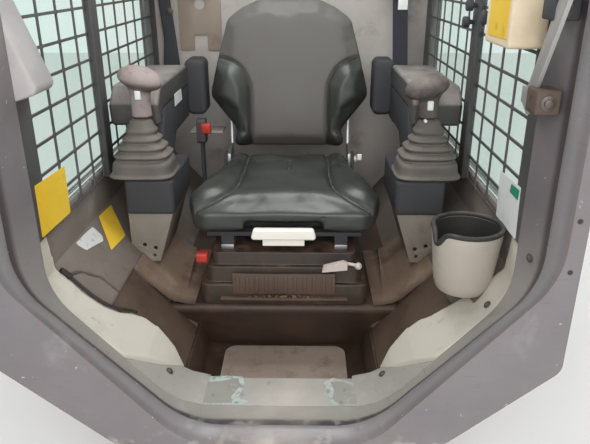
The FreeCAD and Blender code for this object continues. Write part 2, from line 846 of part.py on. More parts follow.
def backrest_brackets():
    """Two plates from the shell's back down and forward to the hinge pins."""
    y0 = backrest_front_y + backrest_thick + seat_gap + shell_thick
    profile = [
        (y0, hinge_z + bracket_top),
        (y0 + overcut, hinge_z + bracket_top),
        (y0 + overcut, hinge_z + 10.0),
        (hinge_y + 16.0, hinge_z - 20.0),
        (hinge_y - 14.0, hinge_z - 20.0),
        (hinge_y - 14.0, hinge_z + 18.0),
        (hinge_y + 20.0, hinge_z + 28.0),
        (y0, hinge_z + 40.0),
    ]
    x1 = ear_x - slide_gap
    plate = prism("yz", profile, x1 - ear_thick, x1)
    plate = plate.cut(cylinder(hinge_pin + slide_gap, V(x1 - 2 * ear_thick, hinge_y, hinge_z),
                               V(x1 + ear_thick, hinge_y, hinge_z)))
    return leant(Part.makeCompound([plate, mirrored(plate)]))


def bar_end():
    angle = math.radians(bar_raised)
    return bar_pivot_y - bar_reach * math.cos(angle), bar_pivot_z + bar_reach * math.sin(angle)


def restraint_bar():
    """U-shaped tube with an eye at each end, raised over the operator's head."""
    end_y, end_z = bar_end()
    share = (bar_eye - bar_eye_lap) / bar_reach
    foot_y = bar_pivot_y + (end_y - bar_pivot_y) * share
    foot_z = bar_pivot_z + (end_z - bar_pivot_z) * share
    path = [V(-bar_x, foot_y, foot_z), V(-bar_x, end_y, end_z), V(bar_x, end_y, end_z), V(bar_x, foot_y, foot_z)]
    eyes = []
    for x in (-bar_x, bar_x):
        eyes.append(cylinder(bar_eye, V(x - bar_tube, bar_pivot_y, bar_pivot_z), V(x + bar_tube, bar_pivot_y, bar_pivot_z)))
    bore = cylinder(bar_pin + slide_gap, V(-frame_half, bar_pivot_y, bar_pivot_z),
                    V(frame_half, bar_pivot_y, bar_pivot_z))
    return tube(path, bar_tube, bar_bend).fuse(eyes).cut(bore)


def bar_pad():
    end_y, end_z = bar_end()
    start = V(-bar_pad_half, end_y, end_z)
    end = V(bar_pad_half, end_y, end_z)
    return cylinder(bar_pad_radius, start, end).cut(cylinder(bar_tube + slide_gap, start, end))


def bar_pivots():
    """Plates on the rear wall whose pins carry the restraint bar."""
    x0 = bar_x + bar_tube + bar_clear
    profile = [
        (rear_wall_y, bar_pivot_z - bar_plate_foot),
        (rear_wall_y, bar_pivot_z + bar_plate_foot),
        (bar_pivot_y - bar_plate_tip, bar_pivot_z + bar_plate_nose),
        (bar_pivot_y - bar_plate_nose, bar_pivot_z),
        (bar_pivot_y - bar_plate_tip, bar_pivot_z - bar_plate_nose),
    ]
    pin = cylinder(bar_pin, V(bar_x - bar_tube - 2.0, bar_pivot_y, bar_pivot_z), V(x0, bar_pivot_y, bar_pivot_z))
    plate = prism("yz", profile, x0, x0 + bar_plate).fuse(pin)
    return Part.makeCompound([plate, mirrored(plate)])


def console_bracket():
    """Drilled bracket between the lower panel and the console box, with a slanted cheek and a foot."""
    inner_x = console_inner_x + bracket_inset
    foot_x = console_inner_x + bracket_foot_inset
    contact_x = panel_toe_x + (bracket_foot_z - tread_z) / panel_rise
    front = [
        (inner_x, console_bottom_z),
        (console_outer_x, console_bottom_z),
        (console_outer_x, panel_z(console_outer_x)),
        (contact_x, bracket_foot_z),
        (foot_x, bracket_foot_z),
    ]
    room = [
        (inner_x + sheet, console_bottom_z + overcut),
        (panel_x, console_bottom_z + overcut),
        (panel_x, bracket_foot_z + sheet),
        (foot_x + sheet, bracket_foot_z + sheet),
        (inner_x + sheet, console_bottom_z),
    ]
    y0 = console_front_y + bracket_setback
    solid = prism("xz", front, y0, y0 + bracket_length)
    solid = solid.cut(prism("xz", room, y0 + sheet, y0 + bracket_length + overcut))
    for across, drop, radius in bracket_holes:
        hole = V(console_inner_x + across, y0 - overcut, console_bottom_z - drop)
        solid = solid.cut(cylinder(radius, hole, hole + V(0, 2 * overcut, 0)))
    return solid


def console():
    """Console box under the lever, with the column that carries the armrest."""
    box_side = rectangle(console_front_y, console_back_y, console_bottom_z, console_top_z)
    box = chamfered_block("yz", box_side, console_inner_x, console_outer_x, console_corner, console_edge)
    column_side = [(console_front_y + behind, arm_bottom_z + rise) for behind, rise in column_profile]
    column = prism("yz", column_side, arm_inner_x + column_inset, console_outer_x - column_inset)
    return box.fuse(column).removeSplitter()


def armrest():
    """Long pad with a drooping arched front end."""
    side = [(console_front_y + behind, arm_bottom_z + rise) for behind, rise in arm_profile]
    return chamfered_block("yz", side, arm_inner_x, arm_outer_x, arm_corner, arm_edge)


def lever_boots():
    """Folded rubber boots, square at the rim and narrowing to the levers' stems."""
    wires = []
    for rise, half, corner in boot_sections:
        half_y = half * boot_depth_share
        points = rectangle(boot_x - half, boot_x + half, lever_y - half_y, lever_y + half_y)
        wires.append(outline([V(x, y, console_top_z + rise) for x, y in points], corner))
    boot = Part.makeLoft(wires, True, True)
    return Part.makeCompound([boot, mirrored(boot)])


def lever():
    """Stem, waisted grip and mushroom head, leaning inward."""
    corners = [V(lever_x + radius, lever_y, boot_top_z + rise) for radius, rise in lever_profile]
    solid = Part.Face(outline(corners)).revolve(V(lever_x, lever_y, 0), V(0, 0, 1), 360)
    solid.rotate(V(lever_x, lever_y, boot_top_z), V(0, 1, 0), lever_tilt)
    above_boot = block(0, frame_half, front_y, rear_y, boot_top_z, cab_height)
    return solid.common(above_boot)


def trim_plan(points):
    """Plan points from shares of the lower panel's run and distances behind the frame."""
    return [(panel_toe_x + share * (panel_x - panel_toe_x), frame_back_y + behind) for share, behind in points]


def trim_blank(rear_edge):
    """Corner trim: its visible face from the window sill in to the tread, then its underside."""
    run = panel_x - panel_toe_x
    face = [(panel_x - trim_top_inset, sill_z - 1.0)]
    for share, rise in trim_face:
        x = panel_toe_x + share * run
        face.append((x, tread_z + max(share, 0.0) * run * panel_rise + rise))
    under = [(panel_toe_x, tread_z), (panel_x, panel_knee_z), (panel_x, sill_z - 1.0)]
    edge = trim_plan(rear_edge)
    plan = [(edge[0][0], frame_back_y)] + edge + [(edge[-1][0], frame_back_y)]
    radii = [0.0, 0.0] + [trim_edge_bend] * (len(edge) - 2) + [0.0, 0.0]
    reach = max(behind for share, behind in rear_edge)
    solid = prism("xz", face + under, frame_back_y, frame_back_y + reach)
    return solid.common(prism("xy", plan, tread_z, sill_z, radii)).cut(sill_corner_plan())


def trim_left():
    """Corner trim with a low wall behind it, which makes a pocket on the panel."""
    wall = prism("xy", strip(trim_plan(pocket_rim), pocket_wall), tread_z, sill_z)
    over = [(x, panel_z(x) + rise) for x in (panel_toe_x, panel_x) for rise in (0.0, pocket_rise)]
    slab = prism("xz", [over[0], over[2], over[3], over[1]], frame_back_y, rear_wall_y)
    return mirrored(trim_blank(trim_left_edge).fuse(wall.common(slab)).removeSplitter())


def cup_solid(inset, floor, top):
    slope = (cup_radius - cup_foot) / (cup_rim_z - cup_foot_z)
    low = cup_foot - inset + (floor - cup_foot_z) * slope
    high = cup_foot - inset + (top - cup_foot_z) * slope
    return Part.makeCone(low, high, top - floor, V(cup_x, cup_y, floor))


def cup_holder():
    """Tapered cup whose closed foot stands on the lower panel's slope."""
    cup = cup_solid(0.0, cup_foot_z, cup_rim_z).cut(cup_solid(cup_wall, cup_floor_z, cup_rim_z))
    behind_panel = prism("xz", strip(panel_line()[::-1], 20 * sheet), front_y, rear_y)
    return cup.cut(behind_panel)


def cup_liner():
    """Rubber ring inside the cup's rim."""
    ring = cup_solid(cup_wall, cup_rim_z - liner_height, cup_rim_z)
    return ring.cut(cup_solid(cup_wall + liner_wall, cup_rim_z - liner_height, cup_rim_z))


def trim_right():
    return trim_blank(trim_right_edge).cut(cup_solid(0.0, cup_foot_z, cup_rim_z + liner_height))


def pillar_pod():
    """Wedge-shaped instrument pod behind the left front post."""
    points = [(across - screen_face_x, sill_z + rise) for across, rise in pod_outline]
    return prism("xz", points, frame_back_y, frame_back_y + pod_depth, list(pod_radii))


def grab_handle():
    """Flat slanted bar beside the right front post, on a foot at each end."""
    (high_depth, high_rise), (low_depth, low_rise) = grab_ends
    high = (front_y + high_depth, sill_z + high_rise)
    low = (front_y + low_depth, sill_z + low_rise)
    x0 = grab_x - grab_thick
    bar = prism("yz", strip([high, low], grab_width), x0, grab_x)
    high_foot = block(x0, frame_half, high[0] - grab_width / 2, high[0] + grab_width / 2,
                      high[1] - grab_foot, high[1])
    foot_y = frame_back_y + seat_gap
    low_foot = block(x0, screen_face_x, foot_y, foot_y + grab_foot, low[1], low[1] + grab_foot)
    return bar.fuse([high_foot.common(entrance()), low_foot]).removeSplitter()


def side_box():
    y0, y1 = (frame_back_y + behind for behind in side_box_y)
    z0, z1 = (sill_z + rise for rise in side_box_z)
    return prism("yz", rectangle(y0, y1, z0, z1), screen_face_x - side_box_depth, screen_face_x, side_box_corner)


def window_latches():
    """Clamp knobs on the right window post."""
    x1 = screen_face_x - post_thick
    knobs = []
    for behind, rise in latch_places:
        foot = V(x1, post_y + behind, sill_z + rise)
        neck = foot - V(latch_stud_length, 0, 0)
        stud = cylinder(latch_stud, neck, foot)
        knobs.append(stud.fuse(cylinder(latch_knob, neck - V(latch_knob_length, 0, 0), neck)))
    return Part.makeCompound(knobs)


def rear_plate():
    """Bracket plate on the rear wall with a round hole and an open notch at its foot."""
    y0 = rear_wall_y - sheet
    bottom = plate_top_z - plate_height
    points = rectangle(-plate_x - plate_half, -plate_x + plate_half, bottom, plate_top_z)
    plate = prism("xz", points, y0, rear_wall_y, plate_corner)
    hole = V(-plate_x, y0 - overcut, plate_top_z - plate_hole_drop)
    plate = plate.cut(cylinder(plate_hole, hole, hole + V(0, 3 * overcut, 0)))
    return plate.cut(block(-plate_x - notch_half, -plate_x + notch_half, y0 - overcut, rear_wall_y + overcut,
                           bottom - overcut, bottom + notch_top))


def rear_pads():
    """Rounded pads behind the armrests, either side of the backrest."""
    points = rectangle(rear_pad_start, rear_pad_start + rear_pad_width,
                       rear_pad_bottom_z, rear_pad_bottom_z + rear_pad_height)
    pad = chamfered_block("xz", points, column_rear_y, column_rear_y + rear_pad_thick, rear_pad_corner, rear_pad_edge)
    return Part.makeCompound([pad, mirrored(pad)])


def seat_controls():
    """Weight lever in front of the housing and the release button at its left side."""
    step = base_tiers[1][1]
    tier_z = deck_z + base_tiers[0][0]
    x0, x1 = weight_lever_x
    z0, z1 = (tier_z + rise for rise in weight_lever_z)
    points = [(x0, z0), (x1, z0 + 2.0), (x1, z0 + 2.0 + weight_lever_tip), (x0, z1)]
    weight_lever = prism("xz", points, base_front_y + step - weight_lever_thick, base_front_y + step, 3.0)
    side_x = base_half - step
    button = block(-side_x - button_depth, -side_x, *button_y, tier_z + button_z[0], tier_z + button_z[1])
    return Part.makeCompound([weight_lever, button])


def belt_reel():
    half = belt_width / 2 + reel_margin
    points = rectangle(belt_x - half, belt_x + half, reel_bottom_z, reel_bottom_z + reel_height)
    return prism("xz", points, column_rear_y, column_rear_y + reel_height, reel_corner)


def belt_strap():
    """Belt drawn tight from its reel up to the rear wall."""
    foot_y = column_rear_y + reel_slot
    foot_z = reel_bottom_z + reel_height
    profile = [
        (foot_y, foot_z),
        (foot_y + belt_thick, foot_z),
        (rear_wall_y, belt_anchor_z),
        (rear_wall_y, belt_anchor_z + belt_anchor_height),
    ]
    return prism("yz", profile, belt_x - belt_width / 2, belt_x + belt_width / 2)


def belt_buckle():
    """Buckle on its stalk at the left side of the seat pan."""
    x0 = -pan_half - buckle_reach
    y1 = buckle_y + buckle_foot
    z0, z1 = buckle_z
    foot = block(x0, -pan_half, buckle_y, y1, pan_z, pan_z + pan_thick)
    stalk = block(x0, x0 + buckle_stalk, buckle_y, y1, pan_z, z0 + overcut)
    middle = buckle_y + buckle_foot / 2
    wide, narrow = buckle_half
    points = [(middle - wide, z0), (middle + wide, z0), (middle + narrow, z1), (middle - narrow, z1)]
    head = prism("yz", points, x0 - buckle_stalk, x0 - buckle_stalk + buckle_thick, buckle_corner)
    return foot.fuse([stalk, head]).removeSplitter()


NODES = {}


def build():
    NODES["front_frame"] = front_frame()
    NODES["sill_step"] = sill_step()
    NODES["footwell"] = footwell()
    NODES["foot_plate"] = foot_plate()
    NODES["seat_platform"] = seat_platform()
    pairs = (
        ("lower_panel", lower_panel),
        ("side_wall", side_wall),
        ("window_frame", window_frame),
        ("window_glass", window_glass),
        ("screen", screen),
        ("window_post", window_post),
        ("rear_leg", rear_leg),
        ("base_rail", base_rail),
        ("console_bracket", console_bracket),
        ("console", console),
        ("armrest", armrest),
        ("lever", lever),
    )
    for name, make in pairs:
        right = make()
        NODES[name + "_right"] = right
        NODES[name + "_left"] = mirrored(right)
    NODES["rear_wall"] = rear_wall()
    NODES["rear_glass"] = rear_glass()
    NODES["roof"] = roof()
    NODES["roof_glass"] = roof_glass()
    NODES["seat_base"] = seat_base()
    NODES["seat_rails"] = seat_rails()
    NODES["seat_pan"] = seat_pan()
    NODES["seat_cushion"] = seat_cushion()
    NODES["release_handle"] = release_handle()
    NODES["recline_lever"] = recline_lever()
    NODES["backrest_cushion"] = backrest_cushion()
    NODES["backrest_shell"] = backrest_shell()
    NODES["backrest_brackets"] = backrest_brackets()
    NODES["restraint_bar"] = restraint_bar()
    NODES["bar_pad"] = bar_pad()
    NODES["bar_pivots"] = bar_pivots()
    NODES["lever_boots"] = lever_boots()
    NODES["trim_left"] = trim_left()
    NODES["trim_right"] = trim_right()
    NODES["cup_holder"] = cup_holder()
    NODES["cup_liner"] = cup_liner()
    NODES["pillar_pod"] = pillar_pod()
    NODES["grab_handle"] = grab_handle()
    NODES["side_box"] = side_box()
    NODES["window_latches"] = window_latches()
    NODES["rear_plate"] = rear_plate()
    NODES["rear_pads"] = rear_pads()
    NODES["seat_controls"] = seat_controls()
    NODES["belt_reel"] = belt_reel()
    NODES["belt_strap"] = belt_strap()
    NODES["belt_buckle"] = belt_buckle()


build()
os.makedirs("parts", exist_ok=True)
for node, shape in NODES.items():
    shape.exportStep("parts/" + node + ".step")
    print(node, shape.isValid(), len(shape.Solids), round(shape.Volume / 1e3, 1), "cm3")
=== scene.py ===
import json
import math

import bpy
from bpy.props import FloatProperty, FloatVectorProperty, IntProperty, PointerProperty
from mathutils import Matrix, Vector
from mathutils.bvhtree import BVHTree


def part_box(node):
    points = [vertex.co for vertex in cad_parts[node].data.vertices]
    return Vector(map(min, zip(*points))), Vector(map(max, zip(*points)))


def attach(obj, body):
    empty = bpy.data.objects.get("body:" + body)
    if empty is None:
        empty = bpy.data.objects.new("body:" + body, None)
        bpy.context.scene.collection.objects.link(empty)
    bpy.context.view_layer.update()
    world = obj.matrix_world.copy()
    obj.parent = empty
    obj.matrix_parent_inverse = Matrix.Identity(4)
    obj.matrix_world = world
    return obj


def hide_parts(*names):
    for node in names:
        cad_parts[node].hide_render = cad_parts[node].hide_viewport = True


bl_info = {
    "name": "Skid Steer Cab",
    "version": (1, 0, 0),
    "blender": (4, 5, 0),
    "location": "View3D > Sidebar > Cab",
    "description": "Finishes, upholstery and fittings for the packed operator cab",
    "category": "Object",
}

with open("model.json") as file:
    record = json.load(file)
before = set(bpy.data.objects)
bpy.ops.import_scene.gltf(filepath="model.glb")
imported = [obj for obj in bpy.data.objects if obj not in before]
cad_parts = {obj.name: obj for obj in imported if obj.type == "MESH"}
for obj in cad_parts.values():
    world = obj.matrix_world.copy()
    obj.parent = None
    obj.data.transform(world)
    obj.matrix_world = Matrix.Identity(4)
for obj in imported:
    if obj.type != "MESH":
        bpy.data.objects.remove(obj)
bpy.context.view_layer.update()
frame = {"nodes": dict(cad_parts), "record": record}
NODES = frame["nodes"]
BODY_OF = {node: body for body, nodes in frame["record"]["behaviour"]["bodies"].items() for node in nodes}
SLOT_OF = {part["node"]: part["material_slot"] for part in frame["record"]["subparts"]}
KINDS = ("VERT", "EDGE", "FACE")
EYE = Vector((0.0475, -1.51, 1.00))


def mm(*values):
    return Vector(values) / 1000.0


# Sizes and colours

class CabSizes(bpy.types.PropertyGroup):
    cell_radius: FloatProperty(name="Cell radius", description="Corner radius of a guard screen opening",
                               default=0.009, unit="LENGTH")
    screen_bar: FloatProperty(name="Screen bar", description="Width of the bars between the openings",
                              default=0.0056, unit="LENGTH")
    screen_sheet: FloatProperty(name="Screen sheet", description="Thickness of the guard screens' sheet",
                                default=0.0035, unit="LENGTH")
    swell: FloatProperty(name="Swell", description="Most that a pad may swell while it is inflated",
                         default=0.018, unit="LENGTH")
    voxel: FloatProperty(name="Voxel", description="Grid size of the pads before they are inflated",
                         default=0.008, unit="LENGTH")
    seam_depth: FloatProperty(name="Seam depth", description="How deep the seams are drawn in",
                              default=0.008, unit="LENGTH")
    piping: FloatProperty(name="Piping", description="Radius of the piping along the seams",
                          default=0.0022, unit="LENGTH")
    sides: IntProperty(name="Sides", description="Number of sides of a turned piece", default=40)


def colour_property(name, description, value):
    return FloatVectorProperty(name=name, description=description, default=value, subtype="COLOR")


class CabColours(bpy.types.PropertyGroup):
    frame_outside: colour_property("Frame outside", "Paint of the frame's outer face", (0.425, 0.41, 0.42))
    frame_inside: colour_property("Frame inside", "Bleached paint of the frame's inner flange", (0.62, 0.61, 0.585))
    vinyl: colour_property("Vinyl", "Cover of the seat and the wings", (0.205, 0.21, 0.205))
    seat_panel: colour_property("Seat panel", "Middle panel of the backrest", (0.355, 0.34, 0.33))
    trim: colour_property("Trim", "Corner trims", (0.765, 0.745, 0.695))
    floor: colour_property("Floor", "Moulded floor and footwell", (0.245, 0.195, 0.17))
    rust: colour_property("Rust", "Rusted spots and edges", (0.50, 0.27, 0.12))


# Modelling

def clear_selection():
    if bpy.context.mode != "OBJECT":
        bpy.ops.object.mode_set(mode="OBJECT")
    bpy.ops.object.select_all(action="DESELECT")


def activate(piece):
    clear_selection()
    piece.select_set(True)
    bpy.context.view_layer.objects.active = piece


def leave():
    bpy.ops.object.mode_set(mode="OBJECT")


def named(name):
    """The newest primitive, named, with its place in its mesh."""
    piece = bpy.context.active_object
    piece.name = name
    piece.data.name = name
    bpy.ops.object.transform_apply(location=True, rotation=True, scale=True)
    return piece


def add_box(name, low, high):
    clear_selection()
    bpy.ops.mesh.primitive_cube_add(size=1.0, location=(low + high) / 2)
    bpy.context.active_object.scale = high - low
    return named(name)


def add_disc(name, centre, radius, axis=(0, 0, 1), sides=40):
    clear_selection()
    turn = Vector((0, 0, 1)).rotation_difference(Vector(axis)).to_euler()
    bpy.ops.mesh.primitive_circle_add(vertices=sides, radius=radius, fill_type="NGON", location=centre, rotation=turn)
    return named(name)


def pick(piece, kind, test):
    """Edit mode with the vertices, edges or faces selected whose middle and direction pass the test."""
    activate(piece)
    mesh = piece.data
    for group in (mesh.vertices, mesh.edges, mesh.polygons):
        group.foreach_set("select", [False] * len(group))
    found = 0
    for item in {"VERT": mesh.vertices, "EDGE": mesh.edges, "FACE": mesh.polygons}[kind]:
        if kind == "FACE":
            middle, facing = item.center, item.normal
        elif kind == "VERT":
            middle, facing = item.co, item.normal
        else:
            start, end = (mesh.vertices[i].co for i in item.vertices)
            middle, facing = (start + end) / 2, (end - start).normalized()
        if test(middle, facing):
            item.select = True
            found += 1
    if not found:
        raise RuntimeError(piece.name + ": nothing to select")
    bpy.context.tool_settings.mesh_select_mode = tuple(kind == name for name in KINDS)
    bpy.ops.object.mode_set(mode="EDIT")


def extrude(offset):
    bpy.ops.mesh.extrude_region_move(TRANSFORM_OT_translate={"value": tuple(offset)})


def grow(piece, axis, centre, rows, first):
    """Extrude the selected cap along the axis through rows of height and half width."""
    axis = Vector(axis)
    height, width = first
    for rise, half in rows:
        extrude(axis * (rise - height))
        scale = half / width
        bpy.ops.transform.resize(value=(scale, scale, scale), center_override=tuple(centre + axis * rise))
        height, width = rise, half
    return piece


def turned(name, centre, axis, rows, sides=40):
    """Round piece through rows of height along the axis and radius, in metres."""
    rise, radius = rows[0]
    axis = Vector(axis)
    piece = add_disc(name, centre + axis * rise, radius, axis, sides)
    pick(piece, "FACE", lambda middle, facing: True)
    grow(piece, axis, centre, rows[1:], rows[0])
    leave()
    outward(piece)
    return piece


def outward(piece):
    pick(piece, "FACE", lambda middle, facing: True)
    bpy.ops.mesh.remove_doubles(threshold=0.00002)
    bpy.ops.mesh.normals_make_consistent(inside=False)
    leave()


def modify(piece, kind, **settings):
    activate(piece)
    modifier = piece.modifiers.new(kind.lower(), kind)
    for key, value in settings.items():
        setattr(modifier, key, value)
    bpy.ops.object.modifier_apply(modifier=modifier.name)


def soften(piece, width, segments=2, angle=30.0):
    modify(piece, "BEVEL", width=width, segments=segments, limit_method="ANGLE", angle_limit=math.radians(angle))
    bpy.ops.object.shade_smooth_by_angle(angle=math.radians(38))


def smooth(piece, levels):
    modify(piece, "SUBSURF", levels=levels, render_levels=levels)
    bpy.ops.object.shade_smooth()


def join(name, pieces):
    clear_selection()
    for piece in pieces:
        piece.select_set(True)
    bpy.context.view_layer.objects.active = pieces[0]
    bpy.ops.object.join()
    pieces[0].name = name
    return pieces[0]


def duplicate(piece, name, matrix):
    copy = bpy.data.objects.new(name, piece.data.copy())
    bpy.context.scene.collection.objects.link(copy)
    copy.data.transform(matrix)
    if matrix.determinant() < 0:
        copy.data.flip_normals()
    return copy


MIRROR = Matrix.Diagonal((-1, 1, 1, 1))


def copy_node(node, name):
    """A merged copy of a CAD node, ready to be worked on."""
    piece = bpy.data.objects.new(name, NODES[node].data.copy())
    bpy.context.scene.collection.objects.link(piece)
    piece.data.materials.clear()
    activate(piece)
    if piece.data.has_custom_normals:
        bpy.ops.mesh.customdata_custom_splitnormals_clear()
    bpy.ops.object.mode_set(mode="EDIT")
    bpy.ops.mesh.select_all(action="SELECT")
    bpy.ops.mesh.remove_doubles(threshold=0.00001)
    bpy.ops.mesh.dissolve_limited(angle_limit=math.radians(0.5))
    leave()
    return piece


def surface_of(piece):
    mesh = piece.data
    return BVHTree.FromPolygons([vertex.co for vertex in mesh.vertices], [face.vertices for face in mesh.polygons])


def seen_at(surfaces, point):
    """Where the photo's line of sight through a point first meets one of the surfaces, and how it faces there."""
    hits = [surface.ray_cast(EYE, Vector(point) - EYE) for surface in surfaces]
    hits = [hit for hit in hits if hit[0]]
    if not hits:
        raise RuntimeError("out of sight")
    return min(hits, key=lambda hit: hit[3])[:2]


def draped(surface, points, direction, lift):
    """The points moved along the direction until they meet the surface, less the lift; those that miss are left out."""
    direction = Vector(direction)
    hits = [surface.ray_cast(Vector(point), direction) for point in points]
    return [hit[0] - direction * lift for hit in hits if hit[0]]


def bead(name, points, radius, order=3):
    """Round bead along a smooth line, as a mesh."""
    curve = bpy.data.curves.new(name, "CURVE")
    curve.dimensions = "3D"
    curve.bevel_depth = radius
    curve.bevel_resolution = 2
    curve.use_fill_caps = True
    line = curve.splines.new("NURBS")
    line.points.add(len(points) - 1)
    for knot, point in zip(line.points, points):
        knot.co = (*point, 1.0)
    line.order_u = order
    line.use_endpoint_u = True
    line.resolution_u = 6
    piece = bpy.data.objects.new(name, curve)
    bpy.context.scene.collection.objects.link(piece)
    activate(piece)
    bpy.ops.object.convert(target="MESH")
    piece = bpy.context.active_object
    outward(piece)
    activate(piece)
    bpy.ops.object.shade_smooth()
    return piece


def patch(name, corners, thickness, facing, radius=0.0):
    """Thin sheet with the given flat outline, in metres, that thickens towards the facing side."""
    clear_selection()
    bpy.ops.mesh.primitive_circle_add(vertices=len(corners), radius=1.0, fill_type="NGON")
    piece = named(name)
    for vertex, corner in zip(piece.data.vertices, corners):
        vertex.co = corner
    piece.data.update()
    wrong_way = piece.data.polygons[0].normal.dot(Vector(facing)) < 0
    pick(piece, "VERT", lambda middle, direction: True)
    if wrong_way:
        bpy.ops.mesh.flip_normals()
    if radius:
        bpy.context.tool_settings.mesh_select_mode = (True, False, False)
        bpy.ops.mesh.bevel(offset=radius, segments=3, affect="VERTICES")
    leave()
    modify(piece, "SOLIDIFY", thickness=thickness, offset=1.0)
    outward(piece)
    soften(piece, thickness * 0.3, 1)
    return piece


def remould(piece, voxel, rounds):
    """Soften a faceted piece into one smooth moulding."""
    modify(piece, "REMESH", mode="VOXEL", voxel_size=voxel)
    modify(piece, "SMOOTH", factor=0.5, iterations=rounds)
    activate(piece)
    bpy.ops.object.shade_smooth()
    return piece


def place_on(piece, body, slot, finish_name, *nodes):
    """Give a piece its finish and let it ride, in place of the CAD nodes that it stands for."""
    piece.data.materials.clear()
    piece.data.materials.append(finish(finish_name))
    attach(piece, body)
    if nodes:
        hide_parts(*nodes)
    return piece


def dress(rows):
    """Soft-edged copies of CAD nodes: node, finish, edge radius in mm, segments."""
    made = []
    for node, finish_name, edge, segments in rows:
        piece = copy_node(node, node + "_dressed")
        soften(piece, edge / 1000.0, segments)
        made.append(place_on(piece, BODY_OF[node], SLOT_OF[node], finish_name, node))
    return made


# Finishes

def linear(colour):
    return tuple(channel ** 2.2 for channel in colour[:3]) + (1.0,)


def shader_group(name, inputs, outputs):
    tree = bpy.data.node_groups.new(name, "ShaderNodeTree")
    for label, kind, value in inputs:
        socket = tree.interface.new_socket(label, in_out="INPUT", socket_type="NodeSocket" + kind)
        socket.default_value = value
    for label, kind in outputs:
        tree.interface.new_socket(label, in_out="OUTPUT", socket_type="NodeSocket" + kind)
    return tree, tree.nodes.new("NodeGroupInput"), tree.nodes.new("NodeGroupOutput")


def node(tree, kind, **settings):
    made = tree.nodes.new("ShaderNode" + kind)
    for key, value in settings.items():
        setattr(made, key, value)
    return made


def spread(tree, value, low, high):
    """Map a value from low..high to 0..1, clamped."""
    ramp = node(tree, "MapRange")
    tree.links.new(value, ramp.inputs["Value"])
    for socket, source in (("From Min", low), ("From Max", high)):
        if isinstance(source, float):
            ramp.inputs[socket].default_value = source
        else:
            tree.links.new(source, ramp.inputs[socket])
    return ramp.outputs["Result"]


def times(tree, first, second):
    product = node(tree, "Math", operation="MULTIPLY", use_clamp=True)
    tree.links.new(first, product.inputs[0])
    if isinstance(second, float):
        product.inputs[1].default_value = second
    else:
        tree.links.new(second, product.inputs[1])
    return product.outputs[0]


def stretched_noise(tree, entry, detail=6.0):
    coords = node(tree, "TexCoord")
    mapping = node(tree, "Mapping")
    noise = node(tree, "TexNoise")
    noise.inputs["Detail"].default_value = detail
    noise.inputs["Roughness"].default_value = 0.62
    tree.links.new(coords.outputs["Object"], mapping.inputs["Vector"])
    tree.links.new(entry.outputs["Stretch"], mapping.inputs["Scale"])
    tree.links.new(entry.outputs["Shift"], mapping.inputs["Location"])
    tree.links.new(mapping.outputs[0], noise.inputs["Vector"])
    tree.links.new(entry.outputs["Scale"], noise.inputs["Scale"])
    return noise.outputs[0]


PATTERN_INPUTS = (
    ("Scale", "Float", 5.0),
    ("Stretch", "Vector", (1.0, 1.0, 1.0)),
    ("Shift", "Vector", (0.0, 0.0, 0.0)),
    ("Low", "Float", 0.4),
    ("High", "Float", 0.6),
    ("Amount", "Float", 1.0),
)


def group_blotches():
    """Patches of noise: stains, chips, scratches or streaks, by scale and stretch."""
    tree, entry, leave_node = shader_group("blotches", PATTERN_INPUTS, (("Mask", "Float"),))
    mask = spread(tree, stretched_noise(tree, entry), entry.outputs["Low"], entry.outputs["High"])
    tree.links.new(times(tree, mask, entry.outputs["Amount"]), leave_node.inputs["Mask"])


def group_dust():
    """Dust that lies on faces that look up."""
    tree, entry, leave_node = shader_group("dust", PATTERN_INPUTS, (("Mask", "Float"),))
    mask = spread(tree, stretched_noise(tree, entry), entry.outputs["Low"], entry.outputs["High"])
    geometry = node(tree, "NewGeometry")
    parts = node(tree, "SeparateXYZ")
    tree.links.new(geometry.outputs["Normal"], parts.inputs[0])
    upward = spread(tree, parts.outputs["Z"], 0.25, 0.95)
    mask = times(tree, times(tree, mask, upward), entry.outputs["Amount"])
    tree.links.new(mask, leave_node.inputs["Mask"])


def group_edge_wear():
    """Rubbed paint along edges, broken up by noise."""
    inputs = PATTERN_INPUTS + (("Radius", "Float", 0.004),)
    tree, entry, leave_node = shader_group("edge_wear", inputs, (("Mask", "Float"),))
    mask = spread(tree, stretched_noise(tree, entry), entry.outputs["Low"], entry.outputs["High"])
    geometry = node(tree, "NewGeometry")
    rounded = node(tree, "Bevel", samples=4)
    tree.links.new(entry.outputs["Radius"], rounded.inputs["Radius"])
    dot = node(tree, "VectorMath", operation="DOT_PRODUCT")
    tree.links.new(geometry.outputs["Normal"], dot.inputs[0])
    tree.links.new(rounded.outputs["Normal"], dot.inputs[1])
    edge = spread(tree, dot.outputs["Value"], 0.995, 0.90)
    mask = times(tree, times(tree, mask, edge), entry.outputs["Amount"])
    tree.links.new(mask, leave_node.inputs["Mask"])


def group_facing():
    """Share of a face that looks along an axis."""
    tree, entry, leave_node = shader_group("facing", (("Axis", "Vector", (0.0, -1.0, 0.0)), ("Low", "Float", 0.3),
                                                      ("High", "Float", 0.8), ("Amount", "Float", 1.0)),
                                           (("Mask", "Float"),))
    geometry = node(tree, "NewGeometry")
    dot = node(tree, "VectorMath", operation="DOT_PRODUCT")
    tree.links.new(geometry.outputs["Normal"], dot.inputs[0])
    tree.links.new(entry.outputs["Axis"], dot.inputs[1])
    mask = spread(tree, dot.outputs["Value"], entry.outputs["Low"], entry.outputs["High"])
    tree.links.new(times(tree, mask, entry.outputs["Amount"]), leave_node.inputs["Mask"])


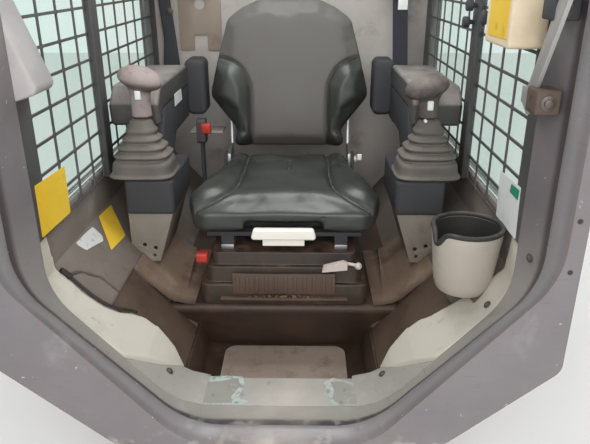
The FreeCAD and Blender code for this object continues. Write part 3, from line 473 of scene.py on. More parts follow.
def group_zone():
    """Part of the cab between two pairs of planes, with a ragged border and broken up by noise."""
    inputs = (("Axis", "Vector", (0.0, 1.0, 0.0)), ("Low", "Float", -9.0), ("High", "Float", -8.0),
              ("Axis2", "Vector", (0.0, 0.0, 1.0)), ("Low2", "Float", -9.0), ("High2", "Float", -8.0),
              ("Ragged", "Float", 0.01), ("Scale", "Float", 14.0), ("Break Low", "Float", -1.0),
              ("Break High", "Float", -0.5), ("Amount", "Float", 1.0))
    tree, entry, leave_node = shader_group("zone", inputs, (("Mask", "Float"),))
    coords = node(tree, "TexCoord")
    noise = node(tree, "TexNoise")
    noise.inputs["Detail"].default_value = 5.0
    tree.links.new(coords.outputs["Object"], noise.inputs["Vector"])
    tree.links.new(entry.outputs["Scale"], noise.inputs["Scale"])
    mask = spread(tree, noise.outputs[0], entry.outputs["Break Low"], entry.outputs["Break High"])
    for axis, low, high in (("Axis", "Low", "High"), ("Axis2", "Low2", "High2")):
        dot = node(tree, "VectorMath", operation="DOT_PRODUCT")
        tree.links.new(coords.outputs["Object"], dot.inputs[0])
        tree.links.new(entry.outputs[axis], dot.inputs[1])
        shifted = node(tree, "Math", operation="MULTIPLY_ADD")
        tree.links.new(noise.outputs[0], shifted.inputs[0])
        tree.links.new(entry.outputs["Ragged"], shifted.inputs[1])
        tree.links.new(dot.outputs["Value"], shifted.inputs[2])
        mask = times(tree, mask, spread(tree, shifted.outputs[0], entry.outputs[low], entry.outputs[high]))
    tree.links.new(times(tree, mask, entry.outputs["Amount"]), leave_node.inputs["Mask"])


def group_marked():
    """The part of a pad that its own "panel" attribute marks."""
    tree, entry, leave_node = shader_group("marked", (("Amount", "Float", 1.0),), (("Mask", "Float"),))
    mark = node(tree, "Attribute", attribute_name="panel")
    tree.links.new(times(tree, mark.outputs["Fac"], entry.outputs["Amount"]), leave_node.inputs["Mask"])


def group_grain():
    """Height of a pebbled or sanded surface."""
    tree, entry, leave_node = shader_group("grain", (("Scale", "Float", 400.0), ("Fine", "Float", 0.4)),
                                           (("Height", "Float"),))
    coords = node(tree, "TexCoord")
    cells = node(tree, "TexVoronoi")
    noise = node(tree, "TexNoise")
    tree.links.new(coords.outputs["Object"], cells.inputs["Vector"])
    tree.links.new(coords.outputs["Object"], noise.inputs["Vector"])
    tree.links.new(entry.outputs["Scale"], cells.inputs["Scale"])
    tree.links.new(entry.outputs["Scale"], noise.inputs["Scale"])
    mix = node(tree, "Mix")
    tree.links.new(entry.outputs["Fine"], mix.inputs["Factor"])
    tree.links.new(cells.outputs["Distance"], mix.inputs[2])
    tree.links.new(noise.outputs[0], mix.inputs[3])
    tree.links.new(mix.outputs[0], leave_node.inputs["Height"])


def group_weave():
    """Height and thread mask of a twilled web."""
    tree, entry, leave_node = shader_group("weave", (("Scale", "Float", 300.0),),
                                           (("Height", "Float"), ("Mask", "Float")))
    coords = node(tree, "TexCoord")
    waves = []
    for direction in ("X", "Z"):
        wave = node(tree, "TexWave", bands_direction=direction)
        tree.links.new(coords.outputs["Object"], wave.inputs["Vector"])
        tree.links.new(entry.outputs["Scale"], wave.inputs["Scale"])
        waves.append(wave.outputs["Fac"])
    height = times(tree, waves[0], waves[1])
    tree.links.new(height, leave_node.inputs["Height"])
    tree.links.new(spread(tree, height, 0.2, 0.7), leave_node.inputs["Mask"])


RUST = "rust"
GRIME = (0.24, 0.19, 0.16)
DUST = (0.66, 0.63, 0.60)
CHIP = (0.78, 0.78, 0.77)

# name: base and second tone, roughness, metallic, then layers of
# group, colour, roughness, and the group's inputs; last the bump's group, scale and distance
FINISHES = {
    "frame_paint": ("frame_outside", (0.475, 0.455, 0.46), 0.36, 0.0, (
        ("blotches", (0.40, 0.375, 0.385), 0.4, dict(Scale=2.2, Shift=(0.0, 0.0, 0.4), Low=0.42, High=0.62, Amount=0.6)),
        ("zone", "frame_inside", 0.42, dict(Low=-0.578, High=-0.566, Axis2=(0.0, 0.0, -1.0), Low2=-0.62, High2=-0.30,
                                            Ragged=0.03)),
        # painted highlight: a pale, glossier band along the rounded ridge behind the frame's outer face
        ("zone", (0.56, 0.55, 0.56), 0.3, dict(Low=-0.640, High=-0.628, Axis2=(0.0, -1.0, 0.0), Low2=0.598,
                                               High2=0.606, Ragged=0.004, Amount=0.5)),
        # painted shade: a dark band along the groove between the ridge and the inner flange
        ("zone", (0.27, 0.235, 0.245), 0.5, dict(Low=-0.603, High=-0.597, Axis2=(0.0, -1.0, 0.0), Low2=0.576,
                                                 High2=0.586, Ragged=0.006, Amount=0.85)),
        ("blotches", (0.66, 0.655, 0.65), 0.5, dict(Scale=9.0, Stretch=(1.0, 1.0, 0.6), Low=0.60, High=0.76, Amount=0.35)),
        ("blotches", (0.34, 0.31, 0.31), 0.5, dict(Scale=30.0, Stretch=(1.0, 1.0, 8.0), Low=0.62, High=0.69, Amount=0.30)),
        ("zone", (0.66, 0.67, 0.66), 0.5, dict(Axis=(0.0, 0.0, -1.0), Low=-0.245, High=-0.215, Scale=34.0,
                                               Break_Low=0.54, Break_High=0.68, Amount=0.55)),
        ("zone", (0.50, 0.41, 0.36), 0.6, dict(Axis=(0.0, 0.0, -1.0), Low=-0.235, High=-0.205,
                                               Axis2=(0.0, -1.0, 0.0), Low2=0.60, High2=0.62, Scale=17.0,
                                               Break_Low=0.50, Break_High=0.72, Amount=0.5)),
        ("edge_wear", (0.50, 0.37, 0.31), 0.6, dict(Scale=26.0, Low=0.44, High=0.64, Amount=0.7, Radius=0.005)),
        ("blotches", RUST, 0.8, dict(Scale=30.0, Low=0.70, High=0.735, Amount=0.9)),
        ("blotches", CHIP, 0.6, dict(Scale=70.0, Shift=(3.0, 1.0, 2.0), Low=0.695, High=0.715, Amount=0.9)),
        ("zone", (0.72, 0.69, 0.66), 0.5, dict(Axis=(0.30, 0.0, -1.0), Low=-0.225, High=-0.195, Axis2=(-0.30, 0.0, -1.0),
                                               Low2=-0.225, High2=-0.195, Ragged=0.03, Scale=12.0, Break_Low=0.25,
                                               Break_High=0.60, Amount=0.85)),
    ), ("grain", 220.0, 0.0002)),
    "panel_paint": ((0.40, 0.365, 0.335), (0.48, 0.445, 0.415), 0.5, 0.0, (
        ("blotches", (0.58, 0.565, 0.55), 0.6, dict(Scale=6.0, Shift=(2.0, 5.0, 1.0), Low=0.57, High=0.70, Amount=0.5)),
        ("dust", DUST, 0.8, dict(Scale=14.0, Low=0.35, High=0.70, Amount=0.20)),
        ("blotches", GRIME, 0.7, dict(Scale=22.0, Shift=(4.0, 0.0, 3.0), Low=0.60, High=0.75, Amount=0.45)),
        ("edge_wear", RUST, 0.7, dict(Scale=40.0, Low=0.45, High=0.65, Amount=0.6, Radius=0.004)),
    ), ("grain", 260.0, 0.0002)),
    "worn_patch": ((0.78, 0.775, 0.77), (0.84, 0.84, 0.835), 0.7, 0.0, (
        ("blotches", (0.55, 0.52, 0.50), 0.7, dict(Scale=60.0, Low=0.58, High=0.66, Amount=0.7)),
    ), ("grain", 500.0, 0.0004)),
    "gum": ((0.73, 0.755, 0.74), (0.64, 0.675, 0.66), 0.8, 0.0, (
        ("blotches", (0.50, 0.54, 0.525), 0.8, dict(Scale=60.0, Low=0.50, High=0.58, Amount=0.8)),
    ), ("grain", 700.0, 0.0006)),
    "shell_paint": ((0.47, 0.45, 0.45), (0.54, 0.52, 0.52), 0.42, 0.0, (
        ("blotches", (0.66, 0.65, 0.64), 0.55, dict(Scale=3.0, Stretch=(1.0, 1.0, 0.35), Low=0.55, High=0.75, Amount=0.35)),
        ("dust", DUST, 0.8, dict(Scale=6.0, Low=0.35, High=0.65, Amount=0.35)),
        ("edge_wear", (0.50, 0.36, 0.29), 0.6, dict(Scale=26.0, Low=0.42, High=0.62, Amount=0.7, Radius=0.004)),
        ("blotches", RUST, 0.8, dict(Scale=30.0, Shift=(1.0, 4.0, 2.0), Low=0.71, High=0.74, Amount=0.8)),
    ), ("grain", 220.0, 0.0002)),
    "rear_paint": ((0.66, 0.63, 0.61), (0.72, 0.69, 0.67), 0.55, 0.0, (
        ("blotches", (0.56, 0.52, 0.50), 0.6, dict(Scale=5.0, Low=0.55, High=0.72, Amount=0.5)),
        ("blotches", (0.44, 0.38, 0.35), 0.7, dict(Scale=11.0, Shift=(2.0, 0.0, 5.0), Low=0.58, High=0.72, Amount=0.5)),
    ), ("grain", 260.0, 0.0002)),
    "floor_paint": ("floor", (0.275, 0.22, 0.19), 0.5, 0.0, (
        ("blotches", (0.34, 0.27, 0.22), 0.7, dict(Scale=8.0, Low=0.52, High=0.72, Amount=0.7)),
        ("dust", (0.43, 0.34, 0.27), 0.9, dict(Scale=24.0, Low=0.50, High=0.70, Amount=0.55)),
        ("edge_wear", (0.40, 0.28, 0.20), 0.6, dict(Scale=40.0, Low=0.40, High=0.65, Amount=0.5, Radius=0.005)),
        ("blotches", (0.52, 0.45, 0.39), 0.9, dict(Scale=120.0, Shift=(1.0, 2.0, 0.0), Low=0.69, High=0.73, Amount=0.7)),
    ), ("grain", 180.0, 0.0004)),
    "lining": ((0.45, 0.375, 0.32), (0.52, 0.44, 0.38), 0.6, 0.0, (
        ("blotches", (0.29, 0.23, 0.195), 0.6, dict(Scale=9.0, Low=0.50, High=0.66, Amount=0.7)),
        ("blotches", (0.58, 0.53, 0.48), 0.9, dict(Scale=16.0, Shift=(0.0, 3.0, 0.0), Low=0.54, High=0.72, Amount=0.65)),
        ("dust", (0.52, 0.45, 0.39), 0.9, dict(Scale=60.0, Low=0.52, High=0.70, Amount=0.6)),
        ("zone", (0.25, 0.205, 0.18), 0.5, dict(Axis=(0.0, -1.0, 0.0), Low=0.232, High=0.262, Ragged=0.03,
                                                Amount=0.75)),
    ), ("grain", 180.0, 0.0004)),
    "floor_mat": ((0.66, 0.59, 0.54), (0.73, 0.66, 0.61), 0.85, 0.0, (
        ("blotches", GRIME, 0.9, dict(Scale=16.0, Low=0.52, High=0.72, Amount=0.5)),
        ("blotches", (0.60, 0.55, 0.50), 0.9, dict(Scale=60.0, Low=0.62, High=0.72, Amount=0.6)),
    ), ("grain", 300.0, 0.0006)),
    "pod_paint": ((0.58, 0.56, 0.56), (0.64, 0.62, 0.62), 0.45, 0.0, (
        ("blotches", (0.74, 0.73, 0.72), 0.5, dict(Scale=6.0, Low=0.50, High=0.74, Amount=0.6)),
        ("edge_wear", (0.80, 0.79, 0.78), 0.5, dict(Scale=26.0, Low=0.40, High=0.62, Amount=0.6, Radius=0.004)),
    ), ("grain", 260.0, 0.0002)),
    "screen_paint": ((0.28, 0.28, 0.285), (0.35, 0.345, 0.345), 0.42, 0.0, (
        ("edge_wear", (0.38, 0.36, 0.35), 0.5, dict(Scale=40.0, Low=0.35, High=0.6, Amount=0.5, Radius=0.0025)),
        ("blotches", (0.36, 0.33, 0.31), 0.7, dict(Scale=10.0, Low=0.55, High=0.75, Amount=0.5)),
    ), ("grain", 300.0, 0.0001)),
    "post_paint": ((0.24, 0.24, 0.245), (0.30, 0.295, 0.30), 0.38, 0.0, (
        ("edge_wear", (0.42, 0.40, 0.39), 0.5, dict(Scale=40.0, Low=0.35, High=0.6, Amount=0.6, Radius=0.003)),
        ("blotches", (0.36, 0.33, 0.31), 0.7, dict(Scale=14.0, Stretch=(1.0, 1.0, 0.3), Low=0.55, High=0.75, Amount=0.5)),
    ), ("grain", 300.0, 0.0001)),
    "bracket_paint": ((0.49, 0.465, 0.43), (0.55, 0.525, 0.49), 0.5, 0.0, (
        ("edge_wear", (0.42, 0.37, 0.32), 0.6, dict(Scale=40.0, Low=0.40, High=0.6, Amount=0.7, Radius=0.003)),
        ("blotches", (0.40, 0.36, 0.32), 0.7, dict(Scale=18.0, Low=0.58, High=0.74, Amount=0.6)),
        ("blotches", RUST, 0.8, dict(Scale=60.0, Low=0.72, High=0.75, Amount=0.8)),
    ), ("grain", 260.0, 0.0002)),
    "beige_plate": ((0.56, 0.50, 0.45), (0.62, 0.56, 0.50), 0.5, 0.0, (
        ("blotches", (0.42, 0.36, 0.32), 0.7, dict(Scale=14.0, Low=0.56, High=0.74, Amount=0.5)),
        ("edge_wear", (0.70, 0.66, 0.60), 0.6, dict(Scale=40.0, Low=0.35, High=0.6, Amount=0.5, Radius=0.003)),
    ), ("grain", 260.0, 0.0002)),
    "black_plastic": ((0.18, 0.175, 0.175), (0.235, 0.225, 0.22), 0.48, 0.0, (
        ("dust", (0.48, 0.44, 0.41), 0.85, dict(Scale=18.0, Low=0.35, High=0.70, Amount=0.38)),
        ("edge_wear", (0.36, 0.33, 0.31), 0.6, dict(Scale=30.0, Low=0.38, High=0.62, Amount=0.5, Radius=0.003)),
        ("blotches", (0.30, 0.24, 0.20), 0.8, dict(Scale=26.0, Low=0.58, High=0.72, Amount=0.45)),
    ), ("grain", 700.0, 0.0002)),
    "base_plastic": ((0.20, 0.17, 0.15), (0.28, 0.235, 0.205), 0.45, 0.0, (
        ("dust", (0.44, 0.35, 0.29), 0.9, dict(Scale=30.0, Low=0.40, High=0.68, Amount=0.65)),
        ("edge_wear", (0.36, 0.29, 0.25), 0.6, dict(Scale=30.0, Low=0.38, High=0.62, Amount=0.5, Radius=0.003)),
        ("blotches", (0.36, 0.28, 0.23), 0.8, dict(Scale=20.0, Low=0.55, High=0.70, Amount=0.5)),
    ), ("grain", 600.0, 0.0003)),
    "arm_plastic": ((0.26, 0.255, 0.25), (0.33, 0.325, 0.32), 0.46, 0.0, (
        ("dust", (0.66, 0.62, 0.60), 0.85, dict(Scale=14.0, Low=0.25, High=0.60, Amount=0.70)),
        ("edge_wear", (0.50, 0.47, 0.45), 0.6, dict(Scale=30.0, Low=0.35, High=0.62, Amount=0.6, Radius=0.004)),
        ("blotches", (0.42, 0.38, 0.36), 0.7, dict(Scale=9.0, Low=0.55, High=0.70, Amount=0.5)),
    ), ("grain", 700.0, 0.0002)),
    "boot_rubber": ((0.31, 0.295, 0.28), (0.38, 0.36, 0.34), 0.6, 0.0, (
        ("edge_wear", (0.52, 0.48, 0.45), 0.8, dict(Scale=30.0, Low=0.30, High=0.60, Amount=0.85, Radius=0.004)),
        ("dust", (0.52, 0.48, 0.45), 0.9, dict(Scale=20.0, Low=0.35, High=0.68, Amount=0.55)),
    ), ("grain", 500.0, 0.0003)),
    "grip_rubber": ((0.29, 0.265, 0.255), (0.36, 0.33, 0.315), 0.6, 0.0, (
        ("dust", (0.60, 0.55, 0.53), 0.85, dict(Scale=30.0, Low=0.30, High=0.65, Amount=0.55)),
        ("blotches", (0.46, 0.42, 0.40), 0.8, dict(Scale=34.0, Low=0.50, High=0.70, Amount=0.6)),
    ), ("grain", 900.0, 0.0003)),
    "pink_grip": ((0.50, 0.455, 0.45), (0.58, 0.53, 0.52), 0.65, 0.0, (
        ("blotches", (0.34, 0.30, 0.29), 0.8, dict(Scale=34.0, Low=0.52, High=0.72, Amount=0.6)),
        # painted shade: the grip darker on its faces that look down
        ("facing", (0.30, 0.27, 0.26), 0.7, dict(Axis=(0.0, 0.0, -1.0), Low=0.0, High=0.6, Amount=0.8)),
    ), ("grain", 900.0, 0.0003)),
    # rubber, also used as painted shade inside the frame's holes
    "rubber": ((0.15, 0.15, 0.15), (0.20, 0.195, 0.19), 0.62, 0.0, (
        ("dust", (0.50, 0.47, 0.45), 0.9, dict(Scale=30.0, Low=0.40, High=0.70, Amount=0.45)),
        ("edge_wear", (0.38, 0.37, 0.36), 0.8, dict(Scale=30.0, Low=0.30, High=0.60, Amount=0.5, Radius=0.003)),
    ), ("grain", 500.0, 0.0003)),
    "vinyl": ("vinyl", (0.20, 0.21, 0.20), 0.30, 0.0, (
        ("dust", (0.42, 0.43, 0.41), 0.6, dict(Scale=7.0, Low=0.45, High=0.75, Amount=0.30)),
        ("blotches", (0.27, 0.25, 0.235), 0.6, dict(Scale=10.0, Low=0.55, High=0.75, Amount=0.45)),
    ), ("grain", 620.0, 0.00035)),
    "back_vinyl": ("vinyl", (0.20, 0.21, 0.20), 0.32, 0.0, (
        ("marked", "seat_panel", 0.52, dict(Amount=1.0)),
        ("blotches", (0.30, 0.28, 0.265), 0.55, dict(Scale=7.0, Low=0.50, High=0.75, Amount=0.35)),
        ("dust", (0.50, 0.52, 0.50), 0.5, dict(Scale=7.0, Low=0.35, High=0.65, Amount=0.5)),
    ), ("grain", 620.0, 0.0004)),
    "piping": ((0.20, 0.20, 0.19), (0.25, 0.245, 0.235), 0.36, 0.0, (
        ("dust", (0.52, 0.50, 0.47), 0.7, dict(Scale=40.0, Low=0.40, High=0.65, Amount=0.5)),
    ), ("grain", 900.0, 0.0002)),
    "trim_plastic": ("trim", (0.79, 0.77, 0.725), 0.5, 0.0, (
        ("blotches", (0.60, 0.57, 0.52), 0.6, dict(Scale=6.0, Low=0.52, High=0.75, Amount=0.55)),
        ("blotches", (0.46, 0.40, 0.34), 0.7, dict(Scale=26.0, Stretch=(1.0, 1.0, 0.4), Low=0.62, High=0.72, Amount=0.45)),
        ("edge_wear", (0.86, 0.85, 0.82), 0.5, dict(Scale=30.0, Low=0.35, High=0.6, Amount=0.4, Radius=0.004)),
        # painted shade: dark grey-brown inside the left trim's pocket, behind its lip
        ("zone", (0.38, 0.345, 0.315), 0.6, dict(Axis=(-0.453, 0.891, 0.0), Low=-0.196, High=-0.192,
                                                 Axis2=(0.0, 0.0, -1.0), Low2=-0.464, High2=-0.458, Ragged=0.001)),
    ), ("grain", 500.0, 0.0002)),
    "cup_plastic": ((0.64, 0.605, 0.565), (0.70, 0.67, 0.63), 0.45, 0.0, (
        ("blotches", (0.47, 0.43, 0.39), 0.6, dict(Scale=8.0, Low=0.52, High=0.75, Amount=0.5)),
        ("blotches", (0.76, 0.75, 0.73), 0.5, dict(Scale=5.0, Shift=(1.0, 0.0, 3.0), Low=0.55, High=0.75, Amount=0.35)),
    ), ("grain", 500.0, 0.0002)),
    "box_plastic": ((0.86, 0.79, 0.67), (0.91, 0.85, 0.75), 0.5, 0.0, (
        ("blotches", (0.70, 0.62, 0.50), 0.6, dict(Scale=9.0, Low=0.52, High=0.75, Amount=0.5)),
        ("edge_wear", (0.84, 0.82, 0.78), 0.5, dict(Scale=30.0, Low=0.35, High=0.6, Amount=0.5, Radius=0.004)),
    ), ("grain", 500.0, 0.0002)),
    "cream_plastic": ((0.84, 0.81, 0.74), (0.88, 0.86, 0.80), 0.45, 0.0, (
        ("blotches", (0.60, 0.53, 0.45), 0.6, dict(Scale=40.0, Low=0.60, High=0.74, Amount=0.6)),
    ), ("grain", 500.0, 0.0001)),
    "grey_bar_paint": ((0.56, 0.55, 0.545), (0.63, 0.62, 0.61), 0.42, 0.0, (
        ("blotches", (0.42, 0.38, 0.36), 0.6, dict(Scale=30.0, Stretch=(1.0, 1.0, 0.3), Low=0.58, High=0.74, Amount=0.6)),
        ("edge_wear", (0.78, 0.77, 0.76), 0.5, dict(Scale=30.0, Low=0.35, High=0.6, Amount=0.5, Radius=0.003)),
    ), ("grain", 300.0, 0.0002)),
    "black_bar_paint": ((0.16, 0.16, 0.165), (0.20, 0.20, 0.205), 0.35, 0.0, (
        ("edge_wear", (0.40, 0.38, 0.37), 0.5, dict(Scale=30.0, Low=0.35, High=0.6, Amount=0.5, Radius=0.003)),
        ("dust", DUST, 0.8, dict(Scale=10.0, Low=0.45, High=0.7, Amount=0.25)),
    ), ("grain", 300.0, 0.0001)),
    "steel": ((0.50, 0.49, 0.48), (0.60, 0.58, 0.56), 0.38, 0.85, (
        ("blotches", (0.42, 0.30, 0.22), 0.7, dict(Scale=30.0, Low=0.55, High=0.70, Amount=0.7)),
    ), ("grain", 300.0, 0.0001)),
    "rusty_steel": ((0.29, 0.26, 0.245), (0.38, 0.32, 0.28), 0.7, 0.0, (
        ("blotches", (0.30, 0.20, 0.14), 0.8, dict(Scale=60.0, Low=0.5, High=0.65, Amount=0.8)),
    ), ("grain", 300.0, 0.0003)),
    "bolt_steel": ((0.33, 0.31, 0.31), (0.45, 0.41, 0.39), 0.42, 0.6, (
        ("edge_wear", (0.70, 0.66, 0.62), 0.4, dict(Scale=60.0, Low=0.3, High=0.6, Amount=0.6, Radius=0.0015)),
        ("blotches", (0.42, 0.28, 0.19), 0.8, dict(Scale=90.0, Low=0.56, High=0.68, Amount=0.6)),
    ), ("grain", 500.0, 0.0001)),
    "yellow_plate": ((0.90, 0.73, 0.20), (0.94, 0.79, 0.28), 0.45, 0.0, (
        ("blotches", (0.62, 0.50, 0.20), 0.6, dict(Scale=30.0, Low=0.60, High=0.72, Amount=0.6)),
        ("blotches", (0.86, 0.82, 0.66), 0.6, dict(Scale=16.0, Shift=(3.0, 0.0, 1.0), Low=0.60, High=0.75, Amount=0.5)),
    ), ("grain", 300.0, 0.0001)),
    "white_plate": ((0.84, 0.85, 0.84), (0.88, 0.89, 0.88), 0.4, 0.0, (
        ("blotches", (0.66, 0.66, 0.64), 0.6, dict(Scale=30.0, Low=0.60, High=0.72, Amount=0.5)),
    ), ("grain", 300.0, 0.0001)),
    "edging": ((0.13, 0.12, 0.115), (0.18, 0.165, 0.155), 0.55, 0.0, (
        ("dust", (0.40, 0.35, 0.31), 0.9, dict(Scale=50.0, Low=0.50, High=0.72, Amount=0.4)),
    ), ("grain", 500.0, 0.0003)),
    "green_plate": ((0.16, 0.50, 0.42), (0.20, 0.56, 0.47), 0.4, 0.0, (
        ("blotches", (0.40, 0.62, 0.56), 0.6, dict(Scale=60.0, Low=0.60, High=0.72, Amount=0.5)),
    ), ("grain", 300.0, 0.0001)),
    "pale_grip": ((0.74, 0.69, 0.66), (0.80, 0.765, 0.74), 0.5, 0.0, (
        ("blotches", (0.50, 0.43, 0.39), 0.7, dict(Scale=60.0, Low=0.58, High=0.72, Amount=0.6)),
    ), ("grain", 500.0, 0.0001)),
    "base_dusty": ((0.31, 0.25, 0.215), (0.38, 0.315, 0.27), 0.6, 0.0, (
        ("dust", (0.44, 0.35, 0.29), 0.9, dict(Scale=30.0, Low=0.40, High=0.68, Amount=0.65)),
        ("edge_wear", (0.40, 0.32, 0.27), 0.7, dict(Scale=30.0, Low=0.38, High=0.62, Amount=0.6, Radius=0.002)),
    ), ("grain", 600.0, 0.0003)),
    "tread_tape": ((0.57, 0.565, 0.54), (0.64, 0.64, 0.61), 0.9, 0.0, (
        ("blotches", (0.70, 0.71, 0.69), 0.9, dict(Scale=26.0, Low=0.58, High=0.66, Amount=0.7)),
        ("blotches", (0.34, 0.30, 0.26), 0.9, dict(Scale=50.0, Shift=(2.0, 0.0, 0.0), Low=0.60, High=0.68, Amount=0.5)),
    ), ("grain", 900.0, 0.0012)),
    "red_plastic": ((0.62, 0.16, 0.13), (0.70, 0.22, 0.17), 0.45, 0.0, (
        ("dust", (0.50, 0.38, 0.32), 0.8, dict(Scale=40.0, Low=0.45, High=0.7, Amount=0.4)),
    ), ("grain", 500.0, 0.0001)),
    "webbing": ((0.17, 0.17, 0.20), (0.22, 0.22, 0.25), 0.8, 0.0, (
        ("blotches", (0.36, 0.34, 0.34), 0.9, dict(Scale=20.0, Low=0.55, High=0.75, Amount=0.4)),
    ), ("weave", 260.0, 0.0006)),
    "dirt": ((0.40, 0.31, 0.25), (0.52, 0.42, 0.34), 0.95, 0.0, (
        ("blotches", (0.27, 0.20, 0.16), 0.95, dict(Scale=120.0, Low=0.48, High=0.60, Amount=0.8)),
    ), ("grain", 900.0, 0.002)),
}


def colour_of(value):
    """A colour as written, or one of the cab's named colours."""
    return linear(getattr(bpy.context.scene.cab_colours, value) if isinstance(value, str) else value)


def layer(tree, kind, settings):
    made = node(tree, "Group", node_tree=bpy.data.node_groups[kind])
    for key, value in settings.items():
        made.inputs[key.replace("_", " ")].default_value = value
    return made


def blend_in(tree, kind, mask, under, over):
    """Mix a plain value or colour over what is there, by the mask."""
    mix = node(tree, "Mix", data_type=kind)
    first, second, out = (6, 7, 2) if kind == "RGBA" else (2, 3, 0)
    tree.links.new(mask, mix.inputs[0])
    if isinstance(under, (tuple, float)):
        mix.inputs[first].default_value = under
    else:
        tree.links.new(under, mix.inputs[first])
    mix.inputs[second].default_value = over
    return mix.outputs[out]


def finish(name):
    """The named finish as a material, made when it is first asked for."""
    if name in bpy.data.materials:
        return bpy.data.materials[name]
    base, second, roughness, metallic, layers, (bump_kind, bump_scale, bump_depth) = FINISHES[name]
    material = bpy.data.materials.new(name)
    material.use_nodes = True
    tree = material.node_tree
    surface = tree.nodes["Principled BSDF"]
    tone = layer(tree, "blotches", dict(Scale=4.0, Low=0.35, High=0.68)).outputs["Mask"]
    colour = blend_in(tree, "RGBA", tone, colour_of(base), colour_of(second))
    rough = blend_in(tree, "FLOAT", tone, roughness, roughness + 0.08)
    for kind, layer_colour, layer_rough, settings in layers:
        mask = layer(tree, kind, settings).outputs["Mask"]
        colour = blend_in(tree, "RGBA", mask, colour, colour_of(layer_colour))
        rough = blend_in(tree, "FLOAT", mask, rough, layer_rough)
    tree.links.new(colour, surface.inputs["Base Color"])
    tree.links.new(rough, surface.inputs["Roughness"])
    surface.inputs["Metallic"].default_value = metallic
    bump = node(tree, "Bump")
    bump.inputs["Strength"].default_value = 0.6
    bump.inputs["Distance"].default_value = bump_depth
    height = layer(tree, bump_kind, dict(Scale=bump_scale)).outputs["Height"]
    tree.links.new(height, bump.inputs["Height"])
    tree.links.new(bump.outputs["Normal"], surface.inputs["Normal"])
    return material


def glass():
    if "tinted_glass" in bpy.data.materials:
        return bpy.data.materials["tinted_glass"]
    material = bpy.data.materials.new("tinted_glass")
    material.use_nodes = True
    tree = material.node_tree
    surface = tree.nodes["Principled BSDF"]
    smudge = layer(tree, "blotches", dict(Scale=5.0, Low=0.45, High=0.75, Amount=0.8)).outputs["Mask"]
    colour = blend_in(tree, "RGBA", smudge, linear((0.87, 0.95, 0.925)), linear((0.95, 0.975, 0.965)))
    tree.links.new(colour, surface.inputs["Base Color"])
    surface.inputs["Roughness"].default_value = 0.02
    surface.inputs["Transmission Weight"].default_value = 1.0
    surface.inputs["IOR"].default_value = 1.1
    return material


# Fittings that repeat

def bolt(name, foot, axis, radius=0.008, height=0.006, washer=0.012):
    """Hexagon head on a washer."""
    axis = Vector(axis).normalized()
    base = turned(name, foot, axis, ((0.0, washer), (0.0015, washer), (0.0018, washer * 0.95)), 24)
    head = turned(name + "_head", foot, axis, ((0.001, radius), (height * 0.8, radius), (height, radius * 0.82)), 6)
    piece = join(name, [base, head])
    soften(piece, 0.0004, 1)
    return piece


def plate(name, centre, right, up, width, height, thickness=0.0012, radius=0.004):
    """Thin blank plate with rounded corners, its back on the centre's plane."""
    right, up = Vector(right).normalized(), Vector(up).normalized()
    out = right.cross(up)
    piece = add_box(name, Vector((-0.5, -0.5, 0.0)), Vector((0.5, 0.5, 1.0)))
    piece.data.transform(Matrix.Diagonal((width, height, thickness, 1)))
    pick(piece, "EDGE", lambda middle, facing: abs(facing.z) > 0.9)
    bpy.ops.mesh.bevel(offset=radius, segments=4, affect="EDGES")
    leave()
    turn = Matrix((right, up, out)).transposed().to_4x4()
    piece.data.transform(Matrix.Translation(centre) @ turn)
    soften(piece, thickness * 0.3, 1)
    return piece


FRAME_BOLTS = ((397.0, -650.0, 591.0), (372.0, -560.0, 456.0), (188.0, -600.0, 336.0), (-193.0, -600.0, 338.5))
# moulded lining over the lower panels: name, front and rear y, profile of x and z, all in mm
FLOOR_LININGS = (
    ("lining_front", -404.0, -240.0, ((211.0, 203.0), (230.0, 224.4), (280.0, 280.6), (330.0, 336.9), (346.0, 354.9),
                                      (351.0, 361.5), (350.0, 365.0))),
    ("lining_rear", -244.0, 60.0, ((212.0, 271.0), (238.0, 272.0), (256.0, 276.5), (272.0, 286.0), (288.0, 300.0),
                                   (304.0, 315.5), (330.0, 337.5), (346.0, 354.9), (351.0, 360.0))),
)
# blank signs, in metres: y and z on a screen, the armrest or the side box, x and y on the left panel
LEFT_SIGN = ((-0.481, 0.546), (-0.338, 0.541), (-0.334, 0.640), (-0.478, 0.646))
RIGHT_SIGN = ((-0.342, 0.636), (-0.461, 0.641), (-0.470, 0.543), (-0.348, 0.543))
GREEN_SIGN = ((-0.415, 0.633), (-0.459, 0.635), (-0.456, 0.615), (-0.411, 0.616))
ARM_SIGN = ((0.125, 0.700), (0.215, 0.700), (0.222, 0.668), (0.120, 0.668))
BOX_SIGN = ((-0.468, 0.898), (-0.362, 0.898), (-0.362, 0.985), (-0.468, 0.985))
PANEL_SIGN = ((-0.444, -0.165), (-0.441, -0.077), (-0.392, -0.145), (-0.397, -0.242))
WORN_PLACE = ((-0.444, -0.320), (-0.443, -0.264), (-0.441, -0.221), (-0.437, -0.219), (-0.421, -0.221), (-0.415, -0.234),
              (-0.421, -0.274), (-0.426, -0.312), (-0.437, -0.319))
# dark guide on the rear wall behind the left armrest: x and z in mm
WALL_GUIDE = ((-421, 1190), (-424, 930), (-414, 800), (-424, 700), (-366, 700), (-374, 800), (-386, 930), (-383, 1190))
# dark edging of the left trim's lip: share of the panel's run, distance behind the frame, height over the panel
POCKET_LIP = ((0.925, 75.0, 13.5), (0.90, 79.0, 12.5), (0.86, 81.0, 11.0), (0.78, 83.0, 9.5), (0.70, 84.0, 10.5),
              (0.62, 89.0, 12.5), (0.56, 98.0, 15.0), (0.51, 110.0, 17.0), (0.46, 127.0, 18.0), (0.42, 136.0, 19.0))
